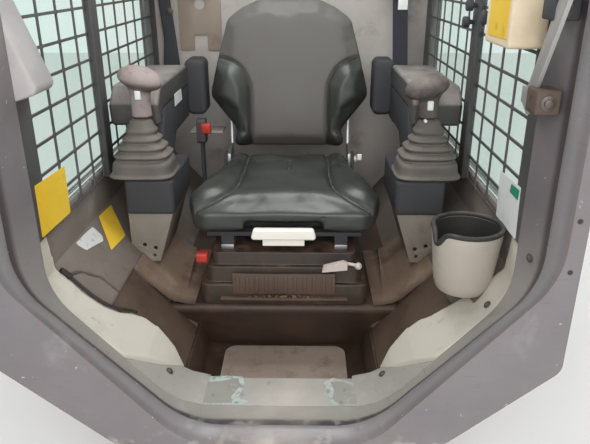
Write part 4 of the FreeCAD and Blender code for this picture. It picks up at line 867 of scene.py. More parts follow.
# plan outlines in mm of the worn patches on the tread: the pale gum, and the tape that is left on it
TREAD_PATCHES = {
    "gum": (
        ((-212, -480), (-211, -448), (-190, -424), (-152, -427), (-119, -424), (-82, -427), (-75, -459), (-87, -496),
         (-63, -508), (-80, -516), (-203, -517)),
        ((90, -444), (110, -428), (146, -443), (167, -449), (186, -473), (178, -509), (165, -517), (110, -517),
         (100, -505), (95, -469)),
    ),
    "tape": (
        ((-202, -483), (-192, -445), (-165, -448), (-128, -444), (-92, -432), (-85, -459), (-100, -493), (-96, -514),
         (-189, -515)),
        ((104, -443), (130, -440), (156, -462), (171, -477), (163, -509), (150, -515), (119, -515), (106, -499),
         (111, -469)),
    ),
}


def on_panel(x, y, lift):
    """A place the lift in mm over the sloping left panel."""
    return Vector((x, y, 0.200 + (abs(x) - 0.212) * 1.1298)) + Vector((0.749, 0.0, 0.663)) * lift / 1000.0


# Operators

class CAB_OT_groups(bpy.types.Operator):
    """Make the shared shader groups of the finishes"""
    bl_idname = "cab.groups"
    bl_label = "Shader groups"

    def execute(self, context):
        for make in (group_blotches, group_dust, group_edge_wear, group_facing, group_zone, group_marked,
                     group_grain, group_weave):
            make()
        return {"FINISHED"}


class CAB_OT_stage(bpy.types.Operator):
    """Set up the floor, the light and the camera"""
    bl_idname = "cab.stage"
    bl_label = "Stage"

    def execute(self, context):
        scene = context.scene
        clear_selection()
        bpy.ops.mesh.primitive_plane_add(size=14.0, location=(0.0, 0.0, -0.002))
        floor = named("studio_floor")
        material = bpy.data.materials.new("studio_floor")
        material.use_nodes = True
        surface = material.node_tree.nodes["Principled BSDF"]
        surface.inputs["Base Color"].default_value = (0.80, 0.80, 0.79, 1.0)
        surface.inputs["Roughness"].default_value = 0.9
        floor.data.materials.append(material)

        world = bpy.data.worlds.new("studio")
        scene.world = world
        world.use_nodes = True
        tree = world.node_tree
        light = tree.nodes["Background"]
        light.inputs["Color"].default_value = (1.0, 1.0, 1.0, 1.0)
        light.inputs["Strength"].default_value = 0.95
        shown = node(tree, "Background")
        shown.inputs["Color"].default_value = (1.0, 1.0, 1.0, 1.0)
        shown.inputs["Strength"].default_value = 1.0
        path = node(tree, "LightPath")
        seen = node(tree, "Math", operation="MAXIMUM")
        mix = node(tree, "MixShader")
        tree.links.new(path.outputs["Is Camera Ray"], seen.inputs[0])
        tree.links.new(path.outputs["Is Transmission Ray"], seen.inputs[1])
        tree.links.new(seen.outputs[0], mix.inputs[0])
        tree.links.new(light.outputs[0], mix.inputs[1])
        tree.links.new(shown.outputs[0], mix.inputs[2])
        tree.links.new(mix.outputs[0], tree.nodes["World Output"].inputs["Surface"])

        for name, place, target, size, power in (
            ("front_softbox", (0.0, -3.0, 1.9), (0.0, 0.0, 0.6), 1.9, 44.0),
            ("side_softbox", (1.8, -2.2, 1.4), (0.0, 0.0, 0.5), 1.2, 11.0),
            ("hatch_softbox", (0.0, -0.05, 1.36), (0.0, 0.0, 0.0), 0.45, 6.0),
        ):
            lamp = bpy.data.lights.new(name, "AREA")
            lamp.size = size
            lamp.energy = power
            holder = bpy.data.objects.new(name, lamp)
            scene.collection.objects.link(holder)
            holder.location = place
            holder.rotation_euler = (Vector(target) - Vector(place)).to_track_quat("-Z", "Y").to_euler()

        camera = bpy.data.cameras.new("photo_view")
        camera.lens = 37.26
        camera.sensor_width = 36.0
        holder = bpy.data.objects.new("photo_view", camera)
        scene.collection.objects.link(holder)
        holder.location = EYE
        holder.rotation_euler = (math.radians(67.81), math.radians(0.07), math.radians(0.92))
        scene.camera = holder
        scene.view_settings.view_transform = "Standard"
        return {"FINISHED"}


class CAB_OT_front_frame(bpy.types.Operator):
    """Finish the front frame with its bolts, holes and worn tread tapes"""
    bl_idname = "cab.front_frame"
    bl_label = "Front frame"

    def execute(self, context):
        dress((("front_frame", "frame_paint", 3.0, 3), ("sill_step", "frame_paint", 4.0, 3)))
        steel = [surface_of(NODES[node]) for node in ("front_frame", "sill_step", "trim_right", "lower_panel_right",
                                                      "side_wall_right", "window_frame_right", "screen_right")]
        heads = []
        for i, point in enumerate(FRAME_BOLTS):
            place, facing = seen_at(steel, mm(*point))
            heads.append(bolt("frame_bolt_%d" % i, place, facing, 0.005, 0.005, 0.008))
        place_on(join("frame_bolts", heads), "cab", SLOT_OF["window_latches"], "bolt_steel")
        # dark discs over the frame's open holes: painted shade inside the holes, given the rubber finish
        holes = [turned("frame_hole_%d" % i, mm(x, -650.0, z), (0, -1, 0), ((-0.001, 0.0045), (0.0003, 0.0045)), 20)
                 for i, (x, z) in enumerate(((463.0, 566.0), (464.0, 652.0), (-470.0, 690.0)))]
        place_on(join("frame_holes", holes), "cab", SLOT_OF["rear_pads"], "rubber")
        for kind, height, finish_name in (("gum", 0.0006, "gum"), ("tape", 0.0014, "tread_tape")):
            pieces = [patch("%s_%d" % (kind, i), [mm(x, y, 199.8) for x, y in outline], height, (0, 0, 1))
                      for i, outline in enumerate(TREAD_PATCHES[kind])]
            place_on(join("tread_" + kind, pieces), "cab", SLOT_OF["sill_step"], finish_name)
        return {"FINISHED"}


class CAB_OT_shell(bpy.types.Operator):
    """Finish walls, roof, rear legs, rails and panes"""
    bl_idname = "cab.shell"
    bl_label = "Shell"

    def execute(self, context):
        rows = [("roof", "shell_paint", 3.0, 3), ("rear_wall", "rear_paint", 1.5, 2)]
        for side in ("_right", "_left"):
            rows += [
                ("side_wall" + side, "shell_paint", 1.5, 2),
                ("window_frame" + side, "shell_paint", 2.0, 2),
                ("rear_leg" + side, "shell_paint", 3.0, 2),
                ("base_rail" + side, "shell_paint", 3.0, 2),
                ("lower_panel" + side, "panel_paint", 1.5, 2),
                ("window_post" + side, "post_paint", 2.0, 2),
            ]
            NODES["window_glass" + side].data.materials[0] = glass()
        for name in ("rear_glass", "roof_glass"):
            NODES[name].data.materials[0] = glass()
        dress(rows)
        return {"FINISHED"}


class CAB_OT_screens(bpy.types.Operator):
    """Cut the guard screens' round-cornered cells"""
    bl_idname = "cab.screens"
    bl_label = "Guard screens"

    def execute(self, context):
        sizes = context.scene.cab_sizes
        low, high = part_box("screen_right")
        bar = sizes.screen_bar
        pitch_y, pitch_z = 0.0916, 0.0556
        post = (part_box("window_post_right")[0].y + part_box("window_post_right")[1].y) / 2
        half_post = (0.046 - bar) / 2
        lines = [low.y + 0.076]
        while lines[-1] + pitch_y < post - half_post:
            lines.append(lines[-1] + pitch_y)
        front = lines + [post - half_post]
        rear = [post + half_post, post + 0.115]
        window_rear = high.y - 0.050
        while rear[-1] + pitch_y < window_rear:
            rear.append(rear[-1] + pitch_y)
        columns = list(zip(front, front[1:])) + list(zip(rear, rear[1:]))
        rows = int((high.z - 0.060 - low.z) / pitch_z)

        clear_selection()
        bpy.ops.mesh.primitive_plane_add(size=1.0, location=(low.x, (low.y + high.y) / 2, (low.z + high.z) / 2),
                                         rotation=(0.0, math.radians(-90), 0.0))
        bpy.context.active_object.scale = (high.z - low.z, high.y - low.y, 1.0)
        piece = named("screen_cells")
        cuts = [((0, y, 0), (0, 1, 0)) for y in front + rear]
        cuts += [((0, 0, low.z + row * pitch_z), (0, 0, 1)) for row in range(1, rows + 1)]
        pick(piece, "FACE", lambda middle, facing: True)
        for place, normal in cuts:
            bpy.ops.mesh.select_all(action="SELECT")
            bpy.ops.mesh.bisect(plane_co=place, plane_no=normal)
        leave()

        def in_cell(middle, facing):
            in_column = any(start < middle.y < end for start, end in columns)
            return in_column and middle.z < low.z + rows * pitch_z

        pick(piece, "FACE", in_cell)
        bpy.ops.mesh.inset(thickness=bar / 2, depth=0.0, use_individual=True, use_boundary=True)
        bpy.context.tool_settings.mesh_select_mode = (True, False, False)
        bpy.ops.mesh.bevel(offset=sizes.cell_radius, segments=3, affect="VERTICES", clamp_overlap=True)
        leave()
        edge = bar / 2 + 0.0005

        def is_hole(middle, facing):
            for start, end in columns:
                if start + edge < middle.y < end - edge:
                    offset = (middle.z - low.z) % pitch_z
                    return middle.z < low.z + rows * pitch_z and edge < offset < pitch_z - edge
            return False

        mesh = piece.data
        pick(piece, "FACE", is_hole)
        leave()
        for face in mesh.polygons:
            if face.select and face.area < 0.0008:
                face.select = False
        bpy.ops.object.mode_set(mode="EDIT")
        bpy.ops.mesh.delete(type="FACE")
        leave()
        modify(piece, "SOLIDIFY", thickness=sizes.screen_sheet, offset=-1.0 if piece.data.polygons[0].normal.x < 0 else 1.0)
        outward(piece)
        spread_x = [vertex.co.x for vertex in piece.data.vertices]
        piece.data.transform(Matrix.Translation((low.x - min(spread_x), 0, 0)))
        soften(piece, 0.0008, 1)
        left = duplicate(piece, "screen_left_cells", MIRROR)
        piece.name = "screen_right_cells"
        place_on(piece, "cab", SLOT_OF["screen_right"], "screen_paint", "screen_right")
        place_on(left, "cab", SLOT_OF["screen_left"], "screen_paint", "screen_left")
        return {"FINISHED"}


class CAB_OT_floor(bpy.types.Operator):
    """Finish the footwell, its mat, the deck and the bar's pivots"""
    bl_idname = "cab.floor"
    bl_label = "Footwell and deck"

    def execute(self, context):
        dress((
            ("footwell", "floor_paint", 2.0, 2),
            ("seat_platform", "floor_paint", 14.0, 4),
            ("foot_plate", "floor_mat", 1.8, 2),
            ("bar_pivots", "black_bar_paint", 1.5, 2),
        ))
        linings = []
        for name, start, end, profile in FLOOR_LININGS:
            first, second = profile[:2]
            half = (first[0] + second[0]) / 2000.0
            piece = add_box(name, mm(first[0], start, 0), mm(second[0], end, 1))
            pick(piece, "FACE", lambda middle, facing: facing.z < 0.9)
            bpy.ops.mesh.delete(type="ONLY_FACE")
            leave()
            for vertex in piece.data.vertices:
                vertex.co.z = (first if vertex.co.x < half else second)[1] / 1000.0
            for before, after in zip(profile[1:], profile[2:]):
                edge = before[0] / 1000.0
                pick(piece, "EDGE", lambda middle, facing: abs(middle.x - edge) < 0.0002 and abs(facing.y) > 0.9)
                extrude(mm(after[0] - before[0], 0, after[1] - before[1]))
                leave()
            modify(piece, "SOLIDIFY", thickness=0.0022, offset=1.0)
            outward(piece)
            soften(piece, 0.0008, 2, 50.0)
            linings += [piece, duplicate(piece, name + "_left", MIRROR)]
        place_on(join("floor_lining", linings), "cab", SLOT_OF["footwell"], "lining")
        return {"FINISHED"}


class CAB_OT_trims(bpy.types.Operator):
    """Finish the corner trims and the cup holder"""
    bl_idname = "cab.trims"
    bl_label = "Corner trims"

    def execute(self, context):
        for side in ("left", "right"):
            piece = remould(copy_node("trim_" + side, "trim_%s_moulded" % side), 0.0026, 9)
            place_on(piece, "cab", SLOT_OF["trim_" + side], "trim_plastic", "trim_" + side)
        lip = [mm(-209.0 - 238.0 * share, behind - 520.0, 200.0 + 268.0 * share + rise)
               for share, behind, rise in POCKET_LIP]
        edging = [bead("lip_edging", lip, 0.0034), bead("lip_clip", lip[:3], 0.0060)]
        place_on(join("pocket_edging", edging), "cab", SLOT_OF["rear_pads"], "edging")

        low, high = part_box("cup_holder")
        centre = Vector(((low.x + high.x) / 2, (low.y + high.y) / 2, low.z))
        height = high.z - low.z
        rows = [(0.012, 0.030), (0.012, 0.050), (0.016, 0.053)]
        rows += [(0.030 + 0.020 * i, 0.0545 + 0.0155 * (0.030 + 0.020 * i) / height) for i in range(6)]
        cup = turned("cup_body", centre, (0, 0, 1), rows + [(height, 0.0693), (height, 0.0650), (0.060, 0.058)], 72)
        notch = math.radians(205.0)

        def dip(place):
            turn = math.atan2(place.y - centre.y, place.x - centre.x) % math.tau
            return 0.026 * math.exp(-((turn - notch) / 0.20) ** 2)

        for vertex in cup.data.vertices:
            share = max(0.0, (vertex.co.z - centre.z - 0.062) / (height - 0.062))
            vertex.co.z -= dip(vertex.co) * share
        activate(cup)
        bpy.ops.object.shade_smooth_by_angle(angle=math.radians(50))
        place_on(cup, "cab", SLOT_OF["cup_holder"], "cup_plastic", "cup_holder")

        ring = []
        for i in range(73):
            turn = math.tau * i / 72 + 0.4
            place = centre + Vector((math.cos(turn), math.sin(turn), 0.0)) * 0.0668
            drop = dip(place)
            swell = 1.0 + 0.05 * drop / 0.026
            ring.append(centre + (place - centre) * swell + Vector((0, 0, height - drop - 0.001)))
        sleeve = turned("cup_sleeve", centre, (0, 0, 1), ((height - 0.006, 0.0640), (0.090, 0.0590), (0.030, 0.0525),
                                                         (0.020, 0.048), (0.0195, 0.010)), 72)
        for vertex in sleeve.data.vertices:
            share = max(0.0, (vertex.co.z - centre.z - 0.095) / (height - 0.101))
            vertex.co.z -= dip(vertex.co) * share
        pick(sleeve, "FACE", lambda middle, facing: facing.z > 0.9 and middle.z > centre.z + 0.1)
        bpy.ops.mesh.delete(type="FACE")
        leave()
        modify(sleeve, "SOLIDIFY", thickness=0.002, offset=0.0)
        activate(sleeve)
        bpy.ops.object.shade_smooth_by_angle(angle=math.radians(50))
        liner = join("cup_liner_rolled", [bead("cup_rim", ring, 0.0052), sleeve])
        place_on(liner, "cab", SLOT_OF["cup_liner"], "rubber", "cup_liner")
        return {"FINISHED"}


class CAB_OT_consoles(bpy.types.Operator):
    """Finish the consoles, armrests and their brackets"""
    bl_idname = "cab.consoles"
    bl_label = "Consoles and armrests"

    def execute(self, context):
        rows = []
        for side in ("_right", "_left"):
            rows += [
                ("console" + side, "black_plastic", 3.0, 3),
                ("armrest" + side, "arm_plastic", 8.0, 4),
                ("console_bracket" + side, "bracket_paint", 1.2, 2),
            ]
        dress(rows)
        return {"FINISHED"}


class CAB_OT_levers(bpy.types.Operator):
    """Model the folded boots and the levers with their mushroom heads"""
    bl_idname = "cab.levers"
    bl_label = "Levers and boots"

    def execute(self, context):
        low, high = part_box("lever_boots")
        lever_low, lever_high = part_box("lever_right")
        centre = Vector((high.x - 0.078, (low.y + high.y) / 2, low.z))
        rows = (
            (0.000, 0.078), (0.007, 0.078), (0.010, 0.074), (0.012, 0.071), (0.030, 0.070), (0.038, 0.068),
            (0.042, 0.058), (0.045, 0.058), (0.050, 0.067), (0.054, 0.067), (0.060, 0.050), (0.063, 0.050),
            (0.068, 0.057), (0.072, 0.057), (0.079, 0.040), (0.082, 0.040), (0.087, 0.047), (0.091, 0.046),
            (0.097, 0.034), (0.100, 0.034), (0.106, 0.038), (0.110, 0.037), (0.118, 0.029), (0.138, 0.025),
        )
        boot = turned("boot", centre, (0, 0, 1), rows, 48)
        for vertex in boot.data.vertices:
            aside, back, rise = vertex.co - centre
            squareness = 5.0 - 3.0 * min(1.0, max(0.0, rise) / 0.118)
            reach = math.hypot(aside, back)
            if reach > 0.001:
                share = (abs(aside / reach) ** squareness + abs(back / reach) ** squareness) ** (-1.0 / squareness)
                vertex.co = centre + Vector((aside * share, back * share * 0.88, rise))
        smooth(boot, 1)
        other = duplicate(boot, "boot_left", MIRROR)
        boots = join("boots_folded", [boot, other])
        place_on(boots, "cab", SLOT_OF["lever_boots"], "boot_rubber", "lever_boots")

        arc = [math.radians(-86.0 + 172.0 * i / 14) for i in range(15)]
        panels = []
        for side, sign, middle, panel_z, finish_name in (
            ("right", 1, Vector((0.325, -0.104, 0.757)), 0.721, "grip_rubber"),
            ("left", -1, Vector((-0.330, -0.103, 0.776)), 0.744, "pink_grip"),
        ):
            cap = turned("cap_" + side, Vector((0, 0, 0)), (0, 0, 1), [(0.030 * math.sin(a) * (0.8 if a < 0 else 1.0),
                                                              0.0515 * math.cos(a)) for a in arc], 36)
            tilt = Matrix.Rotation(math.radians(-15.0 * sign), 4, "Y")
            cap.data.transform(Matrix.Translation(middle) @ tilt @ Matrix.Diagonal((1.0, 0.86, 1.0, 1.0)))
            foot = Vector((sign * 0.332, centre.y, lever_low.z))
            rise = middle.z - foot.z
            neck = turned("neck_" + side, foot, (0, 0, 1), ((0.0, 0.0235), (rise * 0.3, 0.0225), (rise * 0.6, 0.0235),
                                                            (rise * 0.8, 0.028), (rise * 0.95, 0.036)), 28)
            neck.data.transform(Matrix.Translation(foot) @ Matrix.Diagonal((1.0, 0.92, 1.0, 1.0))
                                @ Matrix.Translation(-foot))
            grip = remould(join("lever_%s_grip" % side, [neck, cap]), 0.0026, 5)
            place_on(grip, "cab", SLOT_OF["lever_" + side], finish_name, "lever_" + side)
            panel = add_box("thumb_panel_" + side, Vector((foot.x - 0.007, foot.y - 0.0255, panel_z - 0.011)),
                            Vector((foot.x + 0.007, foot.y - 0.017, panel_z + 0.011)))
            soften(panel, 0.003, 3)
            panels.append(panel)
        button = turned("boot_button", Vector((0.3235, -0.1250, 0.6860)), (0, -1, 0), ((-0.004, 0.004), (0.0025, 0.004),
                                                                                    (0.004, 0.003)), 20)
        place_on(join("thumb_panels", panels + [button]), "cab", SLOT_OF["seat_controls"], "white_plate")
        return {"FINISHED"}


class CAB_OT_seat_base(bpy.types.Operator):
    """Finish the suspension housing, rails, pan and controls"""
    bl_idname = "cab.seat_base"
    bl_label = "Seat base"

    def execute(self, context):
        dress((
            ("seat_base", "base_plastic", 4.0, 3),
            ("seat_rails", "steel", 1.0, 2),
            ("seat_pan", "black_plastic", 1.5, 2),
            ("release_handle", "cream_plastic", 4.0, 3),
            ("recline_lever", "cream_plastic", 2.0, 2),
            ("backrest_shell", "black_plastic", 3.0, 3),
            ("backrest_brackets", "steel", 1.0, 2),
            ("belt_buckle", "black_plastic", 2.5, 3),
        ))
        low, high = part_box("seat_controls")
        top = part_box("seat_pan")[0].z - 0.003
        block = add_box("red_block", Vector((low.x, -0.249, top - 0.021)), Vector((low.x + 0.027, -0.220, top)))
        soften(block, 0.004, 3)
        seat_low, seat_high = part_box("belt_buckle")
        latch = add_box("red_latch", Vector((seat_low.x + 0.012, seat_low.y - 0.0015, 0.588)),
                        Vector((seat_low.x + 0.040, seat_low.y + 0.020, 0.616)))
        soften(latch, 0.004, 3)
        place_on(block, "cab", SLOT_OF["side_box"], "red_plastic")
        place_on(latch, "seat", SLOT_OF["belt_buckle"], "red_plastic")

        wedge = patch("weight_wedge", (mm(88, -246, 366), mm(146, -246, 372), mm(146, -246, 388), mm(136, -246, 391),
                                       mm(92, -246, 379)), 0.016, (0, -1, 0), 0.002)
        stalk = bead("weight_stalk", (mm(140, -241, 380), mm(158, -243, 379), mm(170, -247, 377)), 0.0042)
        ball = turned("weight_ball", mm(172, -247, 376), (1, 0, 0), [(0.0085 * math.sin(a), 0.0085 * math.cos(a))
                      for a in (math.radians(-84.0 + 21.0 * i) for i in range(9))], 20)
        lever = join("weight_lever", [wedge, stalk, ball])
        place_on(lever, "cab", SLOT_OF["seat_controls"], "pale_grip", "seat_controls")

        base_low, base_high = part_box("seat_base")
        face = base_low.y
        ribs = [add_box("drawer_face", Vector((-0.120, face - 0.004, 0.300)), Vector((0.120, face + 0.002, 0.352)))]
        ribs += [add_box("drawer_rib_%d" % i, Vector((-0.112 + 0.0224 * i, face - 0.007, 0.306)),
                         Vector((-0.104 + 0.0224 * i, face, 0.346))) for i in range(11)]
        ribs.append(add_box("drawer_ledge", Vector((-0.150, face - 0.012, 0.286)), Vector((0.150, face + 0.002, 0.2925))))
        for rib in ribs:
            soften(rib, 0.0016, 2)
        place_on(join("drawer_front", ribs), "cab", SLOT_OF["seat_base"], "base_dusty")

        crumbs = []
        for i in range(26):
            turn = 2.399963 * i
            spot = Vector((0.004 + 0.090 * math.cos(turn) * (i / 26) ** 0.5, face - 0.0085, 0.2945
                           + 0.0012 * (i % 3)))
            clear_selection()
            bpy.ops.mesh.primitive_ico_sphere_add(subdivisions=2, radius=0.0022 + 0.0006 * (i % 4), location=spot)
            bpy.context.active_object.scale = (1.3, 0.9, 0.7)
            bpy.context.active_object.rotation_euler = (turn, i, 0.5 * i)
            crumbs.append(named("crumb_%d" % i))
        dirt = remould(join("drawer_dirt", crumbs), 0.0012, 2)
        place_on(dirt, "cab", SLOT_OF["seat_base"], "dirt")
        return {"FINISHED"}


def inflate(piece, sizes):
    """Swell a closed pad by cloth pressure, capped, then refine it once."""
    modify(piece, "REMESH", mode="VOXEL", voxel_size=sizes.voxel)
    rest = [vertex.co.copy() for vertex in piece.data.vertices]
    scene = bpy.context.scene
    activate(piece)
    cloth = piece.modifiers.new("inflate", "CLOTH")
    cloth.settings.use_pressure = True
    cloth.settings.uniform_pressure_force = 4.0
    cloth.settings.effector_weights.gravity = 0.0
    cloth.point_cache.frame_end = 20
    for moment in range(1, 21):
        scene.frame_set(moment)
    bpy.ops.object.modifier_apply(modifier="inflate")
    scene.frame_set(1)
    for vertex, start in zip(piece.data.vertices, rest):
        offset = vertex.co - start
        if offset.length > sizes.swell:
            vertex.co = start + offset.normalized() * sizes.swell
    modify(piece, "SMOOTH", factor=0.5, iterations=5)
    modify(piece, "SUBSURF", levels=1, render_levels=1)
    activate(piece)
    bpy.ops.object.shade_smooth()


def fitted(piece, low, high):
    """Bring an inflated pad back to the box that it has to fill."""
    places = [vertex.co for vertex in piece.data.vertices]
    start = Vector([min(place[i] for place in places) for i in range(3)])
    end = Vector([max(place[i] for place in places) for i in range(3)])
    scale = Matrix.Diagonal([(high[i] - low[i]) / (end[i] - start[i]) for i in range(3)] + [1.0])
    piece.data.transform(Matrix.Translation((low + high) / 2) @ scale @ Matrix.Translation(-(start + end) / 2))


def ease(value):
    """Smooth step from 0 to 1."""
    value = max(0.0, min(1.0, value))
    return value * value * (3.0 - 2.0 * value)


def width_at(line, place):
    """Half width of a seam at a place along it."""
    for (ax, ay), (bx, by) in zip(line, line[1:]):
        if min(ay, by) <= place <= max(ay, by) and ay != by:
            return ax + (bx - ax) * (place - ay) / (by - ay)
    return line[0][0] if abs(place - line[0][1]) < abs(place - line[-1][1]) else line[-1][0]


def scaled(piece, middle, *shares):
    piece.data.transform(Matrix.Translation(middle) @ Matrix.Diagonal((*shares, 1.0)) @ Matrix.Translation(-middle))


def nearest(point, line):
    """Distance in a plane from a point to a run of straight pieces."""
    best = 1.0
    for (ax, ay), (bx, by) in zip(line, line[1:]):
        dx, dy = bx - ax, by - ay
        share = max(0.0, min(1.0, ((point[0] - ax) * dx + (point[1] - ay) * dy) / (dx * dx + dy * dy)))
        best = min(best, math.hypot(point[0] - ax - share * dx, point[1] - ay - share * dy))
    return best


def curve_through(points, steps=4):
    """Smooth run through plan points."""
    made = []
    padded_points = [points[0]] + list(points) + [points[-1]]
    for p0, p1, p2, p3 in zip(padded_points, padded_points[1:], padded_points[2:], padded_points[3:]):
        for step in range(steps):
            t = step / steps
            made.append(tuple(0.5 * (2 * b + (c - a) * t + (2 * a - 5 * b + 4 * c - d) * t * t
                                     + (3 * b - a - 3 * c + d) * t ** 3) for a, b, c, d in zip(p0, p1, p2, p3)))
    made.append(tuple(points[-1]))
    return made


class CAB_OT_seat_cushion(bpy.types.Operator):
    """Inflate the seat cushion and draw in its seams"""
    bl_idname = "cab.seat_cushion"
    bl_label = "Seat cushion"

    def execute(self, context):
        sizes = context.scene.cab_sizes
        low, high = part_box("seat_cushion")
        piece = copy_node("seat_cushion", "seat_cushion_cover")
        scaled(piece, (low + high) / 2, 0.98, 0.98, 0.86)
        inflate(piece, sizes)
        fitted(piece, low + mm(0, 0, 1), high - mm(0, 0, 7))
        seam = curve_through(((0.113, 0.250), (0.113, 0.110), (0.110, 0.0), (0.115, -0.110), (0.124, -0.150),
                              (0.142, -0.178), (0.168, -0.198), (0.196, -0.213), (0.226, -0.232)))
        pleat = ((0.006, 0.130), (0.006, 0.023))
        creases = (((-0.056, 0.530), (-0.081, 0.494)), ((0.074, 0.522), (0.092, 0.488)), ((0.000, 0.500), (0.030, 0.492)))
        for vertex in piece.data.vertices:
            x, y, z = vertex.co
            upward = ease(vertex.normal.z / 0.5)
            if upward > 0.0:
                reach = nearest((abs(x), y), seam)
                outer = abs(x) > width_at(seam, y)
                rise = 0.011 * ease(reach / 0.035) * ease((0.24 - abs(x)) / 0.05) if outer else 0.0
                rise -= sizes.seam_depth * math.exp(-(reach / 0.0055) ** 2)
                rise -= 0.005 * math.exp(-(nearest((x, y), pleat) / 0.006) ** 2)
                rise += 0.006 * math.exp(-(x / 0.065) ** 2 - ((y + 0.180) / 0.035) ** 2)
                rise += 0.004 * math.exp(-(x / 0.085) ** 2 - ((y - 0.060) / 0.080) ** 2)
                vertex.co.z += rise * upward
            elif vertex.normal.y < -0.3:
                for crease in creases:
                    vertex.co.y += 0.004 * math.exp(-(nearest((x, z), crease) / 0.006) ** 2)
        surface = surface_of(piece)
        cords = []
        for i, line in enumerate((seam[:-3], [(-x, y) for x, y in seam[:-3]], pleat)):
            run = draped(surface, [(x, y, 0.75) for x, y in line], (0, 0, -1), 0.0005)
            cords.append(bead("seat_cord_%d" % i, run, sizes.piping))
        place_on(join("seat_piping", cords), "seat", SLOT_OF["seat_cushion"], "piping")
        place_on(piece, "seat", SLOT_OF["seat_cushion"], "vinyl", "seat_cushion")
        return {"FINISHED"}


class CAB_OT_backrest(bpy.types.Operator):
    """Inflate the backrest cushion, with its wings and centre panel"""
    bl_idname = "cab.backrest"
    bl_label = "Backrest"

    def execute(self, context):
        sizes = context.scene.cab_sizes
        low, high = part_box("backrest_cushion")
        piece = copy_node("backrest_cushion", "backrest_cover")
        scaled(piece, (low + high) / 2, 0.98, 0.88, 0.98)
        inflate(piece, sizes)
        fitted(piece, low + mm(0, 7, 0), high - mm(0, 3, 0))
        seam = curve_through(((0.114, 0.500), (0.114, 0.669), (0.123, 0.712), (0.141, 0.743), (0.164, 0.760),
                              (0.187, 0.768), (0.215, 0.774)))
        marks = piece.data.attributes.new("panel", "FLOAT", "POINT")
        for vertex in piece.data.vertices:
            x, y, z = vertex.co
            forward = ease(-vertex.normal.y / 0.4)
            reach = nearest((abs(x), z), seam)
            wing = z < 0.774 and abs(x) > width_at(seam, z)
            marks.data[vertex.index].value = 0.0 if wing else forward
            if forward > 0.0:
                swell = 0.016 * ease(reach / 0.040) * ease((0.240 - abs(x)) / 0.05) if wing else 0.0
                swell += 0.006 * math.exp(-(x / 0.100) ** 2 - ((z - 0.590) / 0.090) ** 2)
                swell -= sizes.seam_depth * math.exp(-(reach / 0.0055) ** 2)
                vertex.co.y -= swell * forward
        surface = surface_of(piece)
        cords = []
        for i, side in enumerate((1, -1)):
            run = draped(surface, [(side * x, -0.5, z) for x, z in seam[:-2]], (0, 1, 0), 0.0005)
            cords.append(bead("back_cord_%d" % i, run, sizes.piping))
        place_on(join("back_piping", cords), "backrest", SLOT_OF["backrest_cushion"], "piping")
        place_on(piece, "backrest", SLOT_OF["backrest_cushion"], "back_vinyl", "backrest_cushion")
        return {"FINISHED"}


class CAB_OT_belt(bpy.types.Operator):
    """Finish the belt and its reel"""
    bl_idname = "cab.belt"
    bl_label = "Belt"

    def execute(self, context):
        dress((("belt_strap", "webbing", 0.8, 1), ("belt_reel", "black_plastic", 3.0, 3)))
        return {"FINISHED"}


class CAB_OT_fittings(bpy.types.Operator):
    """Finish the pod, grab bar, side box, knobs and rear fittings"""
    bl_idname = "cab.fittings"
    bl_label = "Side and rear fittings"

    def execute(self, context):
        dress((
            ("pillar_pod", "pod_paint", 5.0, 3),
            ("grab_handle", "grey_bar_paint", 1.5, 2),
            ("side_box", "box_plastic", 4.0, 3),
            ("window_latches", "black_plastic", 1.5, 2),
            ("rear_plate", "beige_plate", 1.2, 2),
            ("rear_pads", "black_plastic", 6.0, 3),
        ))
        knobs = []
        for i, (x, y, z) in enumerate(((0.434, -0.205, 0.916), (0.434, -0.285, 0.940))):
            knobs.append(turned("knob_%d" % i, Vector((x, y, z)), (-1, 0, 0), (
                (-0.003, 0.014), (0.002, 0.014), (0.003, 0.006), (0.018, 0.006), (0.020, 0.013), (0.023, 0.0148),
                (0.028, 0.0148), (0.031, 0.012), (0.032, 0.004)), 28))
            soften(knobs[-1], 0.0008, 2)
        clasp = add_box("grab_clasp", mm(401, -585, 936), mm(441, -540, 968))
        soften(clasp, 0.003, 3)
        guide = patch("wall_guide", [mm(x, 564, z) for x, z in WALL_GUIDE], 0.009, (0, -1, 0), 0.012)
        soften(guide, 0.002, 2)
        place_on(join("knobs_and_clasps", knobs + [clasp, guide]), "cab", SLOT_OF["window_latches"], "black_plastic")
        shoe = add_box("grab_shoe", mm(397, -580, 797), mm(436, -535, 836))
        soften(shoe, 0.004, 3)
        place_on(shoe, "cab", SLOT_OF["grab_handle"], "rusty_steel")
        heads = [bolt("guide_bolt", mm(-389, 555, 886), (0, -1, 0)), bolt("grab_bolt", mm(417, -585, 952), (0, -1, 0)), bolt("shoe_bolt", mm(416, -580, 816), (0, -1, 0)),
                 bolt("plate_bolt_0", mm(-345, 564, 930), (0, -1, 0), 0.006, 0.005, 0.009),
                 bolt("plate_bolt_1", mm(-243, 564, 930), (0, -1, 0), 0.006, 0.005, 0.009)]
        place_on(join("fitting_bolts", heads), "cab", SLOT_OF["window_latches"], "bolt_steel")
        ledge = add_box("rear_ledge", mm(-300, 300, 548), mm(-200, 372, 556))
        soften(ledge, 0.003, 3)
        place_on(ledge, "cab", SLOT_OF["rear_plate"], "bracket_paint")
        tag = add_box("belt_tag", mm(318, 383, 900), mm(346, 386, 930))
        soften(tag, 0.0008, 2)
        place_on(tag, "cab", SLOT_OF["seat_controls"], "white_plate")
        return {"FINISHED"}


